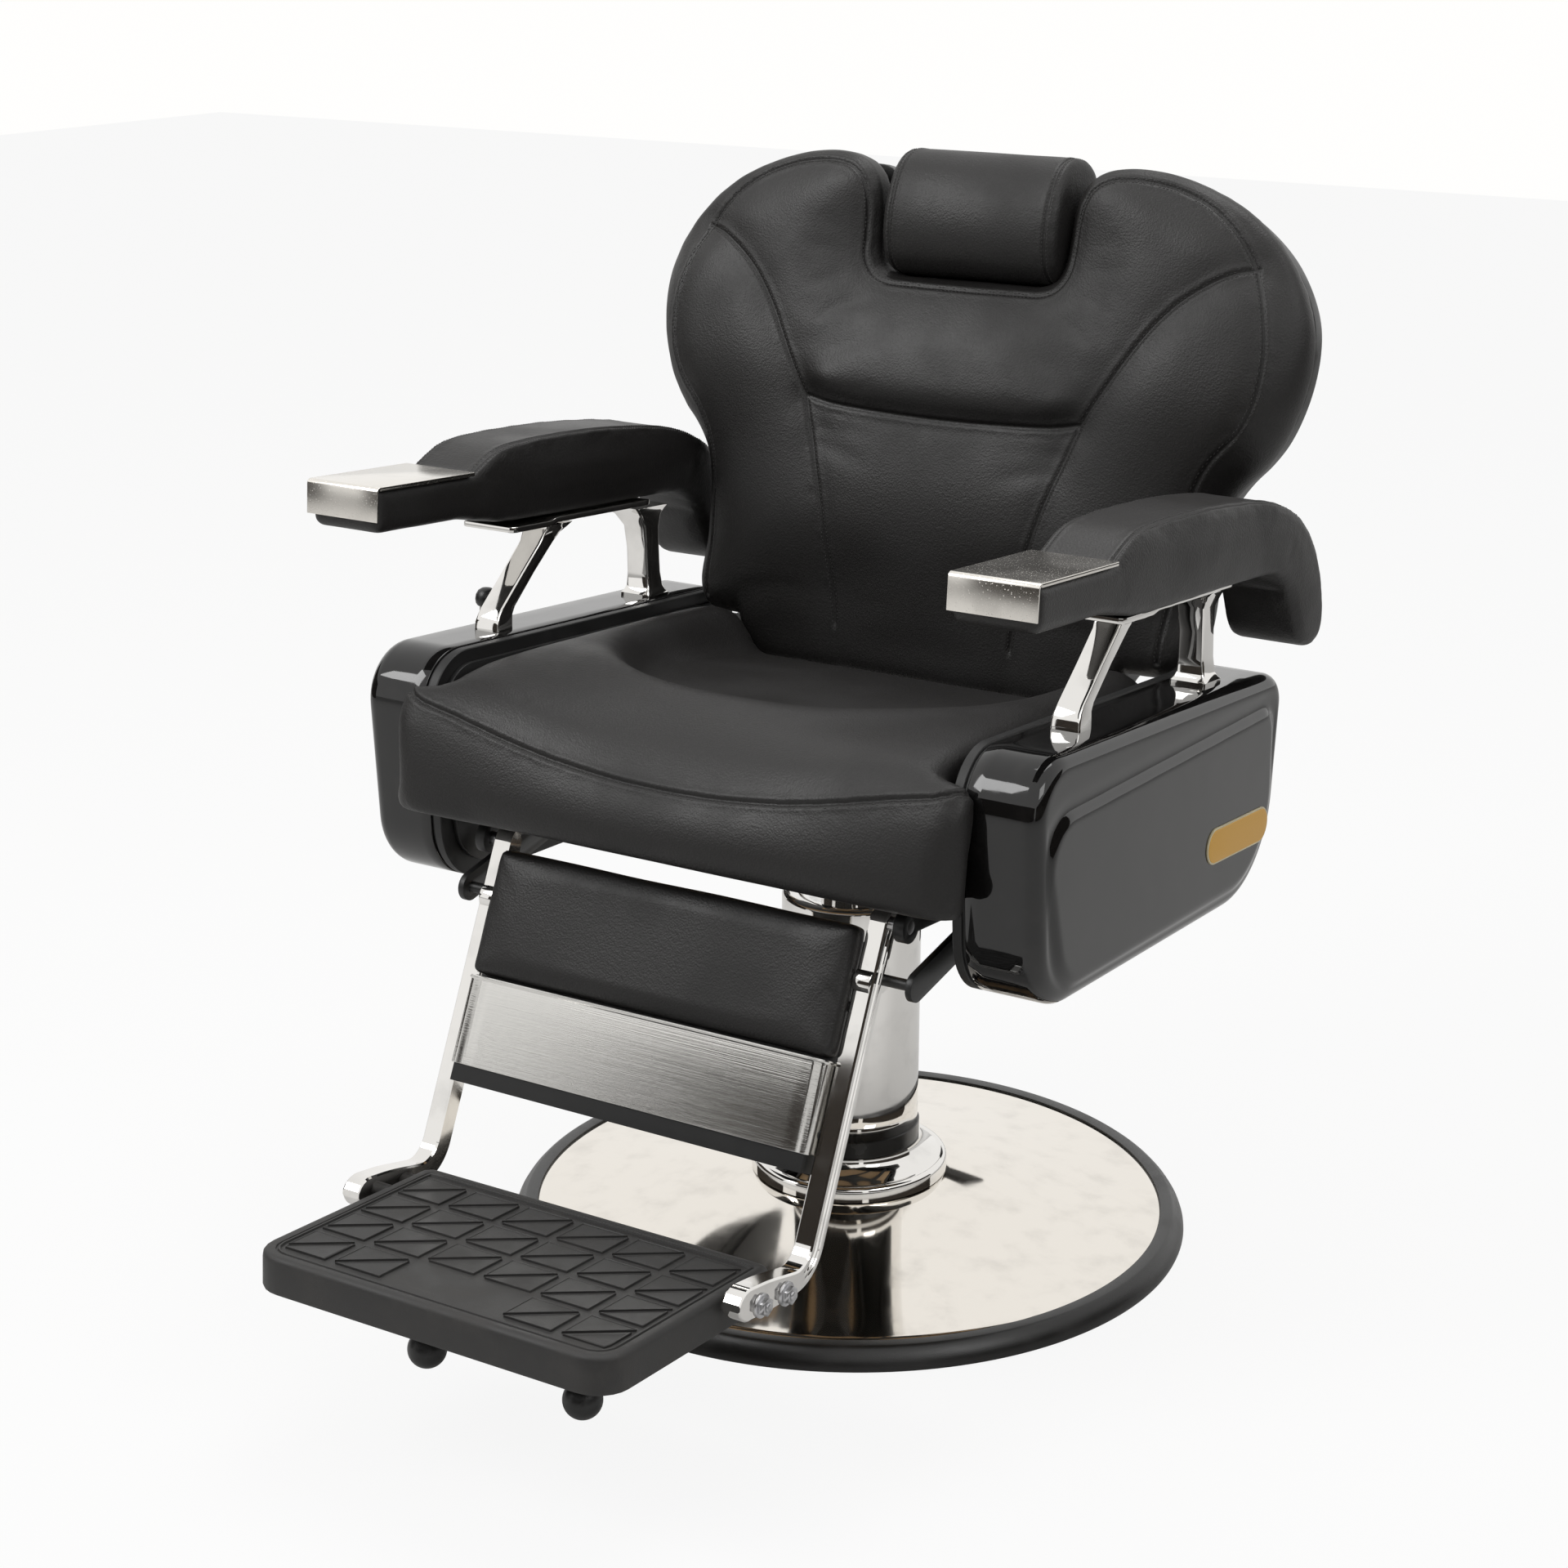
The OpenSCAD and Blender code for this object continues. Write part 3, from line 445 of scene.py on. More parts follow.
@dataclass(frozen=True)
class Gold(Finish):
    """A satin gold badge plate."""

    name: str = "satin_gold"
    slot: str = "gold"
    colour: Colour = (0.66, 0.36, 0.055)

    def paint(self, shader: Shader) -> None:
        """Feeds the shader."""
        sparkle = shader.noise(900.0, 2.0)
        shader.set(
            Base_Color=shader.mix(sparkle, self.colour, (0.74, 0.43, 0.09)),
            Metallic=0.45,
            Roughness=0.36 + 0.12 * sparkle,
            Normal=shader.bump(sparkle, 0.0001, 0.3),
        )


@dataclass(frozen=True)
class Ply(Finish):
    """Birch plywood, plain or stained."""

    name: str = "birch_plywood"
    slot: str = "plywood"
    dark: Colour = (0.36, 0.22, 0.11)
    light: Colour = (0.58, 0.42, 0.25)

    def paint(self, shader: Shader) -> None:
        """Feeds the shader."""
        grain = shader.noise(1.0, 5.0, shader.stretched((5.0, 70.0, 110.0)))
        plies = shader.noise(1.0, 1.0, shader.stretched((1.0, 1.0, 420.0)))
        tone = grain * 0.7 + plies * 0.3
        shader.set(
            Base_Color=shader.mix(tone, self.dark, self.light),
            Roughness=0.6 + 0.15 * grain,
            Normal=shader.bump(grain, 0.0004, 0.5),
        )


class Finishes:
    """The chair's finishes, each made once."""

    leather = Leather()
    thread = Thread()
    gloss = Gloss()
    chrome = Plated()
    dish = Plated(name="spun_dish_chrome", slot="spun_chrome", colour=(0.82, 0.78, 0.72),
                  ripple=0.00012, roughness=0.06)
    cast = Plated(name="cast_chrome", colour=(0.80, 0.77, 0.72), pits=0.8, ripple=0.0005,
                  roughness=0.20)
    brushed = Brushed()
    tread = Rubber(name="tread_rubber", roughness=0.55)
    pads = Rubber(name="tread_pad_rubber", roughness=0.50, dustiness=0.5,
                  colour=(0.018, 0.0172, 0.0165))
    shell = Matt(name="moulded_shell", slot="gloss_black", colour=(0.012, 0.012, 0.012),
                 roughness=0.34)
    ring = Rubber(name="ring_rubber", roughness=0.28, dustiness=0.25,
                  colour=(0.012, 0.0115, 0.011))
    ball = Rubber(name="ball_rubber", roughness=0.33, dustiness=0.1,
                  colour=(0.010, 0.010, 0.010))
    plate = Matt(name="textured_plate", slot="matte_black", colour=(0.010, 0.010, 0.010))
    coat = Matt(name="powder_coat", slot="steel_black", colour=(0.013, 0.013, 0.013),
                roughness=0.40)
    band = Matt(name="dark_band", slot="steel_black", colour=(0.020, 0.020, 0.019),
                roughness=0.25)
    steel = Bare(name="zinc_steel", slot="steel_raw", colour=(0.52, 0.52, 0.53))
    bronze = Bare(name="bearing_bronze", slot="bronze", colour=(0.50, 0.33, 0.14))
    gold = Gold()
    ply = Ply()
    stained = Ply(name="black_stained_plywood", dark=(0.012, 0.0115, 0.011),
                  light=(0.022, 0.021, 0.020))
    cream = Matt(name="cream_edge", slot="gold", colour=(0.62, 0.55, 0.36), roughness=0.35)

    def __init__(self) -> None:
        """Starts with no materials made."""
        self._made: dict[str, bpy.types.Material] = {}

    def material(self, finish: Finish) -> bpy.types.Material:
        """The material of a finish, built at its first use."""
        if finish.name not in self._made:
            self._made[finish.name] = finish.build()
        return self._made[finish.name]


# ---------- meshes ----------


def smooth(t: float) -> float:
    """A smooth step of t, held between 0 and 1."""
    held = min(1.0, max(0.0, t))
    return held * held * (3 - 2 * held)


def bell(at: float, width: float) -> float:
    """A bell curve: 1 at 0, and about 0.37 at the width."""
    return math.exp(-(at / width) ** 2)


def lookup(at: float, stops: Sequence[tuple[float, float]]) -> float:
    """A value read from a table of stops, straight between them."""
    if at <= stops[0][0]:
        return stops[0][1]
    for (low, first), (high, second) in zip(stops, stops[1:]):
        if at <= high:
            return first + (second - first) * (at - low) / (high - low)
    return stops[-1][1]


def curve_through(points: Sequence[Vector], step: float) -> list[Vector]:
    """Points a step apart on a Catmull-Rom curve through some points."""
    ends = [points[0] * 2 - points[1], *points, points[-1] * 2 - points[-2]]
    dense: list[Vector] = []
    for a, b, c, d in zip(ends, ends[1:], ends[2:], ends[3:]):
        count = max(2, math.ceil((c - b).length / step * 2))
        for k in range(count):
            t = k / count
            dense.append(0.5 * (2 * b + (c - a) * t + (2 * a - 5 * b + 4 * c - d) * t * t
                                + (3 * b - 3 * c + d - a) * t ** 3))
    dense.append(points[-1].copy())
    return even(dense, step)


def even(points: Sequence[Vector], step: float) -> list[Vector]:
    """A polyline's points laid out again at even steps."""
    lengths = [0.0]
    for a, b in zip(points, points[1:]):
        lengths.append(lengths[-1] + (b - a).length)
    count = max(1, round(lengths[-1] / step))
    found, k = [], 0
    for i in range(count + 1):
        want = lengths[-1] * i / count
        while k < len(points) - 2 and lengths[k + 1] < want:
            k += 1
        span = max(NEAR_ZERO, lengths[k + 1] - lengths[k])
        found.append(points[k].lerp(points[k + 1], min(1.0, (want - lengths[k]) / span)))
    return found


def pairs_of(items: Sequence, closed: bool = True) -> list[tuple]:
    """Each item with the one that follows it, and the last with the first if closed."""
    return list(zip(items, [*items[1:], *items[:1]] if closed else items[1:]))


def length_of(points: Sequence[Vector], closed: bool = False) -> float:
    """The length of a polyline, or the way round an outline."""
    return sum((b - a).length for a, b in pairs_of(points, closed))


def even_ring(points: Sequence[Vector], step: float) -> list[Vector]:
    """A closed outline's points laid out again at even steps."""
    return even([*points, points[0]], step)[:-1]


def quarter(steps: int, first: int = 0) -> list[tuple[float, float]]:
    """(1 - cosine, 1 - sine) of the angles of a quarter turn, from one step to the last."""
    angles = (math.pi / 2 * k / steps for k in range(first, steps + 1))
    return [(1 - math.cos(angle), 1 - math.sin(angle)) for angle in angles]


def line_tree(points: Sequence[Vector]) -> KDTree:
    """A search tree over some points."""
    tree = KDTree(len(points))
    for index, point in enumerate(points):
        tree.insert(point, index)
    tree.balance()
    return tree


def rounded_outline(corners: Sequence[Triple], steps: int = 8) -> list[Vector]:
    """A closed outline whose corners are arcs.

    Args:
        corners: The corners, each (u, v, radius), in order.
        steps: The number of segments in each arc.

    Returns:
        The outline's points as (u, v, 0).
    """
    outline: list[Vector] = []
    count = len(corners)
    for k, (u, v, radius) in enumerate(corners):
        here = Vector((u, v, 0))
        before = Vector((*corners[k - 1][:2], 0)) - here
        after = Vector((*corners[(k + 1) % count][:2], 0)) - here
        half = before.angle(after) / 2
        if radius < NEAR_ZERO or half > math.pi / 2 - 0.01:
            outline.append(here)
            continue
        reach = radius / math.tan(half)
        start = here + before.normalized() * reach
        end = here + after.normalized() * reach
        centre = here + (before.normalized() + after.normalized()).normalized() * (
            radius / math.sin(half))
        arm, other = start - centre, end - centre
        for step in range(steps + 1):
            outline.append(centre + arm.slerp(other, step / steps) * radius)
    return outline


class Form:
    """A mesh in the making, with the operators that shape it."""

    def __init__(self) -> None:
        """Starts empty."""
        self.bm = bmesh.new()

    def ring(self, points: Sequence[Vector], closed: bool = True) -> list[bmesh.types.BMVert]:
        """Lays out a ring, or an open line, of vertices and edges."""
        verts = [self.bm.verts.new(point) for point in points]
        for pair in pairs_of(verts, closed):
            self.bm.edges.new(pair)
        return verts

    def loft(self, rings: Sequence[Sequence[Vector]]) -> Form:
        """Extrudes a closed ring through all the other rings in turn, and fills both ends.

        Args:
            rings: The rings, each with the same number of points.

        Returns:
            The form itself.
        """
        verts = self.ring(rings[0])
        first = verts
        for points in rings[1:]:
            edges = self._edges_of(verts)
            made = bmesh.ops.extrude_edge_only(self.bm, edges=edges)["geom"]
            fresh = {item for item in made if isinstance(item, bmesh.types.BMVert)}
            moved = []
            for vert, point in zip(verts, points):
                pair = (edge.other_vert(vert) for edge in vert.link_edges)
                new = next(other for other in pair if other in fresh)
                new.co = point
                moved.append(new)
            verts = moved
        for end in (first, verts):
            bmesh.ops.contextual_create(self.bm, geom=self._edges_of(end))
        return self

    @staticmethod
    def _edges_of(verts: Sequence[bmesh.types.BMVert],
                  closed: bool = True) -> list[bmesh.types.BMEdge]:
        """The edges that join a ring's vertices, in order."""
        return [next(e for e in a.link_edges if e.other_vert(a) == b)
                for a, b in pairs_of(verts, closed)]

    def spin(self, profile: Sequence[tuple[float, float]], steps: int = 160,
             closed: bool = True) -> Form:
        """Spins a profile of (radius, height) points about the Z axis."""
        verts = self.ring([Vector((r, 0, z)) for r, z in profile], closed)
        edges = self._edges_of(verts, closed)
        bmesh.ops.spin(self.bm, geom=[*verts, *edges], cent=(0, 0, 0), axis=(0, 0, 1),
                       angle=math.tau, steps=steps, use_merge=True, use_duplicate=False)
        return self.welded()

    def prism(self, outline: Sequence[Vector], start: float, end: float) -> Form:
        """Fills an outline of (y, z) points and extrudes it along X from start to end."""
        first = [Vector((start, point.x, point.y)) for point in outline]
        last = [Vector((end, point.x, point.y)) for point in outline]
        return self.loft([first, last])

    def rod(self, start: Sequence[float], end: Sequence[float], radius: float,
            segments: int = 32, tip: float | None = None) -> Form:
        """Adds a round rod between two points, tapered to another radius at its tip."""
        a, b = Vector(start), Vector(end)
        turn = (b - a).to_track_quat("Z", "Y").to_matrix().to_4x4()
        matrix = Matrix.Translation((a + b) / 2) @ turn
        bmesh.ops.create_cone(self.bm, cap_ends=True, segments=segments, radius1=radius,
                              radius2=radius if tip is None else tip,
                              depth=(b - a).length, matrix=matrix)
        return self

    def bevel(self, width: float, segments: int, angle: float) -> Form:
        """Rounds the edges that are sharper than an angle."""
        limit = math.radians(angle)
        edges = [e for e in self.bm.edges
                 if len(e.link_faces) == 2 and e.calc_face_angle(0.0) > limit]
        bmesh.ops.bevel(self.bm, geom=edges, offset=width, offset_type="OFFSET",
                        affect="EDGES", segments=segments, profile=0.5, material=-1,
                        clamp_overlap=True)
        return self

    def welded(self, distance: float = 1e-6) -> Form:
        """Merges doubles and turns every face outwards."""
        bmesh.ops.remove_doubles(self.bm, verts=self.bm.verts, dist=distance)
        bmesh.ops.recalc_face_normals(self.bm, faces=self.bm.faces)
        return self

    def moved(self, matrix: Matrix) -> Form:
        """Moves the whole form, and keeps its faces outwards if it was mirrored."""
        bmesh.ops.transform(self.bm, matrix=matrix, verts=self.bm.verts)
        if matrix.determinant() < 0:
            bmesh.ops.reverse_faces(self.bm, faces=self.bm.faces)
        return self

    def copied(self, matrix: Matrix) -> Form:
        """Adds a transformed copy of all that is there."""
        geom = [*self.bm.verts, *self.bm.edges, *self.bm.faces]
        made = bmesh.ops.duplicate(self.bm, geom=geom)["geom"]
        verts = [item for item in made if isinstance(item, bmesh.types.BMVert)]
        faces = [item for item in made if isinstance(item, bmesh.types.BMFace)]
        bmesh.ops.transform(self.bm, matrix=matrix, verts=verts)
        if matrix.determinant() < 0:
            bmesh.ops.reverse_faces(self.bm, faces=faces)
        return self

    def object(self, name: str, sharp: float = 35.0) -> Piece:
        """Makes the object, smooth except at edges sharper than an angle."""
        limit = math.radians(sharp)
        for face in self.bm.faces:
            face.smooth = True
        for edge in self.bm.edges:
            edge.smooth = not (len(edge.link_faces) == 2 and edge.calc_face_angle(0.0) > limit)
        mesh = bpy.data.meshes.new(name)
        self.bm.to_mesh(mesh)
        self.bm.free()
        made = bpy.data.objects.new(name, mesh)
        bpy.context.scene.collection.objects.link(made)
        return made


# ---------- the workshop: what dresses pieces ------------------------


class Workshop:
    """Holds the frame and the finishes, and dresses each piece."""

    def __init__(self, frame: dict) -> None:
        """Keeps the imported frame."""
        self.frame = frame
        self.finishes = Finishes()

    def dress(self, piece: Piece, finish: Finish, body: str,
              replaces: Iterable[str] = ()) -> Piece:
        """Gives a piece its finish and body, and hides the CAD nodes it stands for."""
        piece.data.materials.clear()
        piece.data.materials.append(self.finishes.material(finish))
        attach(piece, body)
        nodes = list(replaces)
        if nodes:
            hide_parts(*nodes)
        LOG.info("%s: %d faces on %s", piece.name, len(piece.data.polygons), body)
        return piece

    def make(self, form: Form, name: str, finish: Finish, body: str,
             replaces: Iterable[str] = (), at: Matrix = FLOOR,
             sharp: float = 35.0) -> Piece:
        """Puts a form in place and dresses it."""
        piece = form.moved(at).object(name, sharp)
        return self.dress(piece, finish, body, replaces)

    def upholster(self, piece: Piece, stitches: Piece, place: Matrix,
                  body: str, node: str) -> None:
        for made in (piece, stitches):
            made.data.transform(place)
        self.dress(piece, self.finishes.leather, body, [node])
        self.dress(stitches, self.finishes.thread, body)

    def finish_node(self, node: str, finish: Finish) -> None:
        """Gives a CAD node that stays in view its material."""
        piece = self.frame["nodes"][node]
        piece.data.materials.clear()
        piece.data.materials.append(self.finishes.material(finish))

    def softened(self, node: str, finish: Finish, width: float = 0.8 * MM,
                 segments: int = 2) -> Piece:
        """Stands a merged copy of a CAD node, with eased edges, in the node's place."""
        form = Form()
        form.bm.from_mesh(self.frame["nodes"][node].data)
        form.welded(1e-5)
        bmesh.ops.dissolve_limit(form.bm, angle_limit=math.radians(1.0),
                                 verts=form.bm.verts, edges=form.bm.edges)
        form.bevel(width, segments, 40.0)
        piece = form.object(node + "_finished")
        return self.dress(piece, finish, self._body_of(node), [node])

    def _body_of(self, node: str) -> str:
        """The body that a CAD node rides on."""
        bodies = self.frame["record"]["behaviour"]["bodies"]
        return next(body for body, nodes in bodies.items() if node in nodes)


# ---------- upholstery ----------


@dataclass
class Seam:
    """A sewn line: where it runs, how deep it sinks and which sides are topstitched."""

    points: list[Vector]
    depth: float = 2.2 * MM
    reach: float = 4.5 * MM
    rows: tuple[float, ...] = (-3.2 * MM, 3.2 * MM)


@dataclass
class Upholstery:
    """Inflates a cover over its foam, sinks the seams and sews the stitches."""

    voxel: float = 5 * MM
    pressure: float = 4.0
    cap: float = 9 * MM
    frames: int = 13
    stitch_pitch: float = 3.9 * MM
    stitch_length: float = 2.9 * MM
    thread_r: float = 0.42 * MM
    fine_band: float = 8 * MM
    sharpest_turn: float = 0.2

    def remesh(self, piece: Piece, passes: int = 2) -> None:
        """Rebuilds a closed form as an even mesh of quads."""
        modifier = piece.modifiers.new("even", "REMESH")
        modifier.mode = "VOXEL"
        modifier.voxel_size = self.voxel
        self._apply(piece)
        self.relax(piece, passes)

    @staticmethod
    def relax(piece: Piece, passes: int) -> None:
        """Smooths a piece's surface a few times."""
        form = Form()
        form.bm.from_mesh(piece.data)
        for _ in range(passes):
            bmesh.ops.smooth_vert(form.bm, verts=form.bm.verts, factor=0.5, use_axis_x=True,
                                  use_axis_y=True, use_axis_z=True)
        form.bm.to_mesh(piece.data)
        form.bm.free()

    @staticmethod
    def _apply(piece: Piece) -> None:
        """Applies a piece's modifiers to its mesh."""
        graph = bpy.context.evaluated_depsgraph_get()
        mesh = bpy.data.meshes.new_from_object(piece.evaluated_get(graph))
        piece.modifiers.clear()
        old = piece.data
        piece.data = mesh
        bpy.data.meshes.remove(old)

    def inflate(self, piece: Piece, held: Callable[[Vector], float],
                seams: Sequence[Seam] = ()) -> None:
        """Blows the cover up against its stitching with Cloth.

        Args:
            piece: The closed, even mesh.
            held: How firmly a point is held, from 0 to 1.
            seams: Sewn lines, which are held too.
        """
        scene = bpy.context.scene
        rest = [vert.co.copy() for vert in piece.data.vertices]
        tree = seam_tree(seams)
        group = piece.vertex_groups.new(name="held")
        for vert in piece.data.vertices:
            weight = held(vert.co)
            if tree is not None and tree.find(vert.co)[2] < self.voxel * 0.8:
                weight = 1.0
            if weight > 0:
                group.add([vert.index], min(1.0, weight), "REPLACE")
        cloth = piece.modifiers.new("inflate", "CLOTH")
        settings = cloth.settings
        settings.quality = 5
        settings.mass = 0.25
        settings.tension_stiffness = 18
        settings.compression_stiffness = 18
        settings.shear_stiffness = 9
        settings.bending_stiffness = 1.4
        settings.use_pressure = True
        settings.uniform_pressure_force = self.pressure
        settings.effector_weights.gravity = 0
        settings.vertex_group_mass = group.name
        cloth.point_cache.frame_start = 1
        cloth.point_cache.frame_end = self.frames
        scene.frame_start, scene.frame_end = 1, self.frames
        for frame in range(1, self.frames + 1):
            scene.frame_set(frame)
        self._apply(piece)
        piece.vertex_groups.clear()
        scene.frame_set(1)
        for vert, start in zip(piece.data.vertices, rest):
            shift = vert.co - start
            if shift.length > self.cap:
                vert.co = start + shift.normalized() * self.cap

    def refine(self, piece: Piece) -> None:
        """Subdivides a piece once, for good."""
        modifier = piece.modifiers.new("fine", "SUBSURF")
        modifier.levels = modifier.render_levels = 1
        self._apply(piece)
        for face in piece.data.polygons:
            face.use_smooth = True

    def finish(self, piece: Piece, seams: list[Seam], laid: Callable[[Piece], list[Seam]],
               unevenness: tuple[float, float], name: str) -> Piece:
        """Cuts a cover finer at its seams, crumples it, sinks the seams and sews them.

        Args:
            piece: The inflated and refined cover.
            seams: Its seams, as they lie before it is crumpled.
            laid: Lays the seams on the cover again.
            unevenness: The height and the frequency of its soft unevenness.
            name: The name of the stitches.

        Returns:
            The stitches.
        """
        self.sharpen(piece, seams)
        self.crumple(piece, *unevenness, seams)
        seams = laid(piece)
        self.sink(piece, seams)
        return self.sew(piece, name, seams)

    def sharpen(self, piece: Piece, seams: Sequence[Seam]) -> None:
        """Cuts the mesh finer in a band along the seams."""
        tree = seam_tree(seams)
        form = Form()
        form.bm.from_mesh(piece.data)
        near = {vert for vert in form.bm.verts if tree.find(vert.co)[2] < self.fine_band}
        edges = [edge for edge in form.bm.edges
                 if edge.verts[0] in near and edge.verts[1] in near]
        bmesh.ops.subdivide_edges(form.bm, edges=edges, cuts=1, use_grid_fill=True)
        form.bm.to_mesh(piece.data)
        form.bm.free()
        for face in piece.data.polygons:
            face.use_smooth = True

    def sink(self, piece: Piece, seams: Sequence[Seam]) -> None:
        """Presses each seam into the surface as a narrow valley between two soft lips."""
        mesh = piece.data
        tree = seam_tree(seams)
        owners = [seam for seam in seams for _ in even(seam.points, 1 * MM)]
        normals = [vert.normal.copy() for vert in mesh.vertices]
        for vert, normal in zip(mesh.vertices, normals):
            _, index, distance = tree.find(vert.co)
            seam = owners[index]
            if distance < seam.reach * 3:
                t = distance / seam.reach
                valley = math.exp(-(t * 2.2) ** 2) - 0.22 * math.exp(-((t - 1.15) * 2.0) ** 2)
                vert.co = vert.co - normal * seam.depth * valley

    def crumple(self, piece: Piece, amount: float, scale: float,
                seams: Sequence[Seam] = ()) -> None:
        """Adds soft unevenness to the cover, with small puckers beside its seams."""
        mesh = piece.data
        tree = seam_tree(seams)
        normals = [vert.normal.copy() for vert in mesh.vertices]
        for vert, normal in zip(mesh.vertices, normals):
            broad = noise.noise(vert.co * scale)
            pucker = 0.0
            if tree is not None:
                distance = tree.find(vert.co)[2]
                near = bell(distance - 7 * MM, 5 * MM)
                pucker = near * noise.noise(vert.co * 95.0) * 0.35 * MM
            vert.co = vert.co + normal * (broad * amount + pucker)

    def sew(self, piece: Piece, name: str, seams: Sequence[Seam]) -> Piece:
        """Lays topstitches beside the seams, on the surface.

        Args:
            piece: The finished cover.
            name: The name of the stitches.
            seams: The seams to sew.

        Returns:
            One object that holds every stitch.
        """
        surface = surface_of(piece)
        shape = Form()
        bmesh.ops.create_uvsphere(shape.bm, u_segments=6, v_segments=4, radius=1.0)
        bead = bpy.data.meshes.new("bead")
        shape.bm.to_mesh(bead)
        shape.bm.free()
        form = Form()
        for seam in seams:
            line = even(seam.points, self.stitch_pitch)
            for offset in seam.rows:
                for ends in zip(line, line[1:]):
                    self._stitch(form, surface, bead, ends, offset)
        bpy.data.meshes.remove(bead)
        return form.object(name, sharp=180.0)

    def _stitch(self, form: Form, surface: BVHTree, bead: bpy.types.Mesh,
                ends: tuple[Vector, Vector], offset: float) -> None:
        """Adds one stitch, aside from the seam by an offset."""
        middle, run = (ends[0] + ends[1]) / 2, ends[1] - ends[0]
        _, normal, _, _ = surface.find_nearest(middle)
        if normal is None or run.length < NEAR_ZERO:
            return
        aside = run.normalized().cross(normal)
        if aside.length < self.sharpest_turn:
            return
        spot, normal, _, _ = surface.find_nearest(middle + aside.normalized() * offset)
        along = (run - normal * run.dot(normal)).normalized()
        across = normal.cross(along)
        turn = Matrix((across, normal, along)).transposed().to_4x4()
        size = Matrix.Diagonal((self.thread_r, self.thread_r, self.stitch_length / 2, 1))
        matrix = Matrix.Translation(spot + normal * self.thread_r * 0.25) @ turn @ size
        stitch = bead.copy()
        stitch.transform(matrix)
        form.bm.from_mesh(stitch)
        bpy.data.meshes.remove(stitch)


def seam_tree(seams: Sequence[Seam]) -> KDTree | None:
    """A search tree over all points of some seams, a millimetre apart."""
    points = [point for seam in seams for point in even(seam.points, 1 * MM)]
    return line_tree(points) if points else None


def surface_of(piece: Piece) -> BVHTree:
    """A search tree over a piece's faces."""
    mesh = piece.data
    return BVHTree.FromPolygons([v.co for v in mesh.vertices],
                                [p.vertices for p in mesh.polygons])


def on_surface(piece: Piece, points: Iterable[Vector]) -> list[Vector]:
    """Each point moved to the nearest place on a piece."""
    surface = surface_of(piece)
    return [surface.find_nearest(point)[0] for point in points]


def laid_again(piece: Piece, seams: Sequence[Seam]) -> list[Seam]:
    """The same seams, laid on a piece's surface as it now is."""
    return [replace(seam, points=on_surface(piece, seam.points)) for seam in seams]


def placed(piece: Piece, matrix: Matrix) -> Piece:
    """Moves a piece's mesh, and keeps its faces outwards if it was mirrored."""
    piece.data.transform(matrix)
    if matrix.determinant() < 0:
        piece.data.flip_normals()
    return piece


def cast_on(piece: Piece, points: Iterable[Vector], way: Vector) -> list[Vector]:
    """Each point moved along a direction until it meets a piece; misses are left out."""
    surface = surface_of(piece)
    hits = (surface.ray_cast(point, way)[0] for point in points)
    return [hit for hit in hits if hit is not None]


# ---------- outlines and bars ----------


def hull_of(circles: Sequence[Triple], step: float,
            inset: float = 0.0) -> list[Vector]:
    """The outline around some circles, as evenly spaced points.

    Args:
        circles: The circles, each (u, v, radius), in counter-clockwise order.
        step: The spacing of the points.
        inset: How far the outline is moved inwards.

    Returns:
        The closed outline's points as (u, v, 0).
    """
    points: list[Vector] = []
    count = len(circles)
    for k, (u, v, radius) in enumerate(circles):
        held = radius - inset
        last, following = circles[k - 1], circles[(k + 1) % count]
        start = _tangent_angle(last, (u, v, radius))
        end = _tangent_angle((u, v, radius), following)
        if end < start:
            end += math.tau
        arcs = max(2, math.ceil((end - start) * radius / step))
        for i in range(arcs + 1):
            angle = start + (end - start) * i / arcs
            points.append(Vector((u + held * math.cos(angle), v + held * math.sin(angle), 0)))
    return even_ring(points, step)


def _tangent_angle(a: Triple, b: Triple) -> float:
    """The direction from two circles' centres to their shared outer tangent."""
    du, dv = b[0] - a[0], b[1] - a[1]
    distance = math.hypot(du, dv)
    heading = math.atan2(dv, du)
    swing = math.acos(max(-1.0, min(1.0, (a[2] - b[2]) / distance)))
    return heading - swing


def depth_inside(point: Vector, outline: Sequence[Vector]) -> float:
    """How far a point lies inside a convex counter-clockwise outline; negative outside."""
    least = math.inf
    for a, b in pairs_of(outline):
        edge = b - a
        if edge.length > NEAR_ZERO:
            inward = Vector((-edge.y, edge.x, 0)) / edge.length
            least = min(least, (point - a).dot(inward))
    return least


def clipped(polygon: Sequence[Vector], outline: Sequence[Vector]) -> list[Vector]:
    """The part of a polygon inside a convex counter-clockwise outline."""
    kept = list(polygon)
    for a, b in pairs_of(outline):
        edge = b - a
        inward = Vector((-edge.y, edge.x, 0))
        fresh: list[Vector] = []
        for p, q in pairs_of(kept):
            first, second = (p - a).dot(inward), (q - a).dot(inward)
            if first >= 0:
                fresh.append(p)
            if first * second < 0:
                fresh.append(p.lerp(q, first / (first - second)))
        kept = fresh
        if len(kept) < 3:
            return []
    return kept


def bent(corners: Sequence[tuple[float, float]], radius: float, step: float) -> list[Vector]:
    """An open line in the YZ plane with rounded bends.

    Args:
        corners: The line's (y, z) corners.
        radius: The radius of its bends.
        step: The spacing of the points.

    Returns:
        The line's points in space, at x = 0.
    """
    line = [Vector((0, *corners[0]))]
    for a, b, c in zip(corners, corners[1:], corners[2:]):
        here = Vector((0, *b))
        before, after = Vector((0, *a)) - here, Vector((0, *c)) - here
        half = before.angle(after) / 2
        reach = radius / math.tan(half)
        start, end = here + before.normalized() * reach, here + after.normalized() * reach
        middle = (before.normalized() + after.normalized()).normalized() * (
            radius / math.sin(half))
        centre = here + middle
        for k in range(13):
            line.append(centre + (start - centre).slerp(end - centre, k / 12) * radius)
    line.append(Vector((0, *corners[-1])))
    return even(line, step)


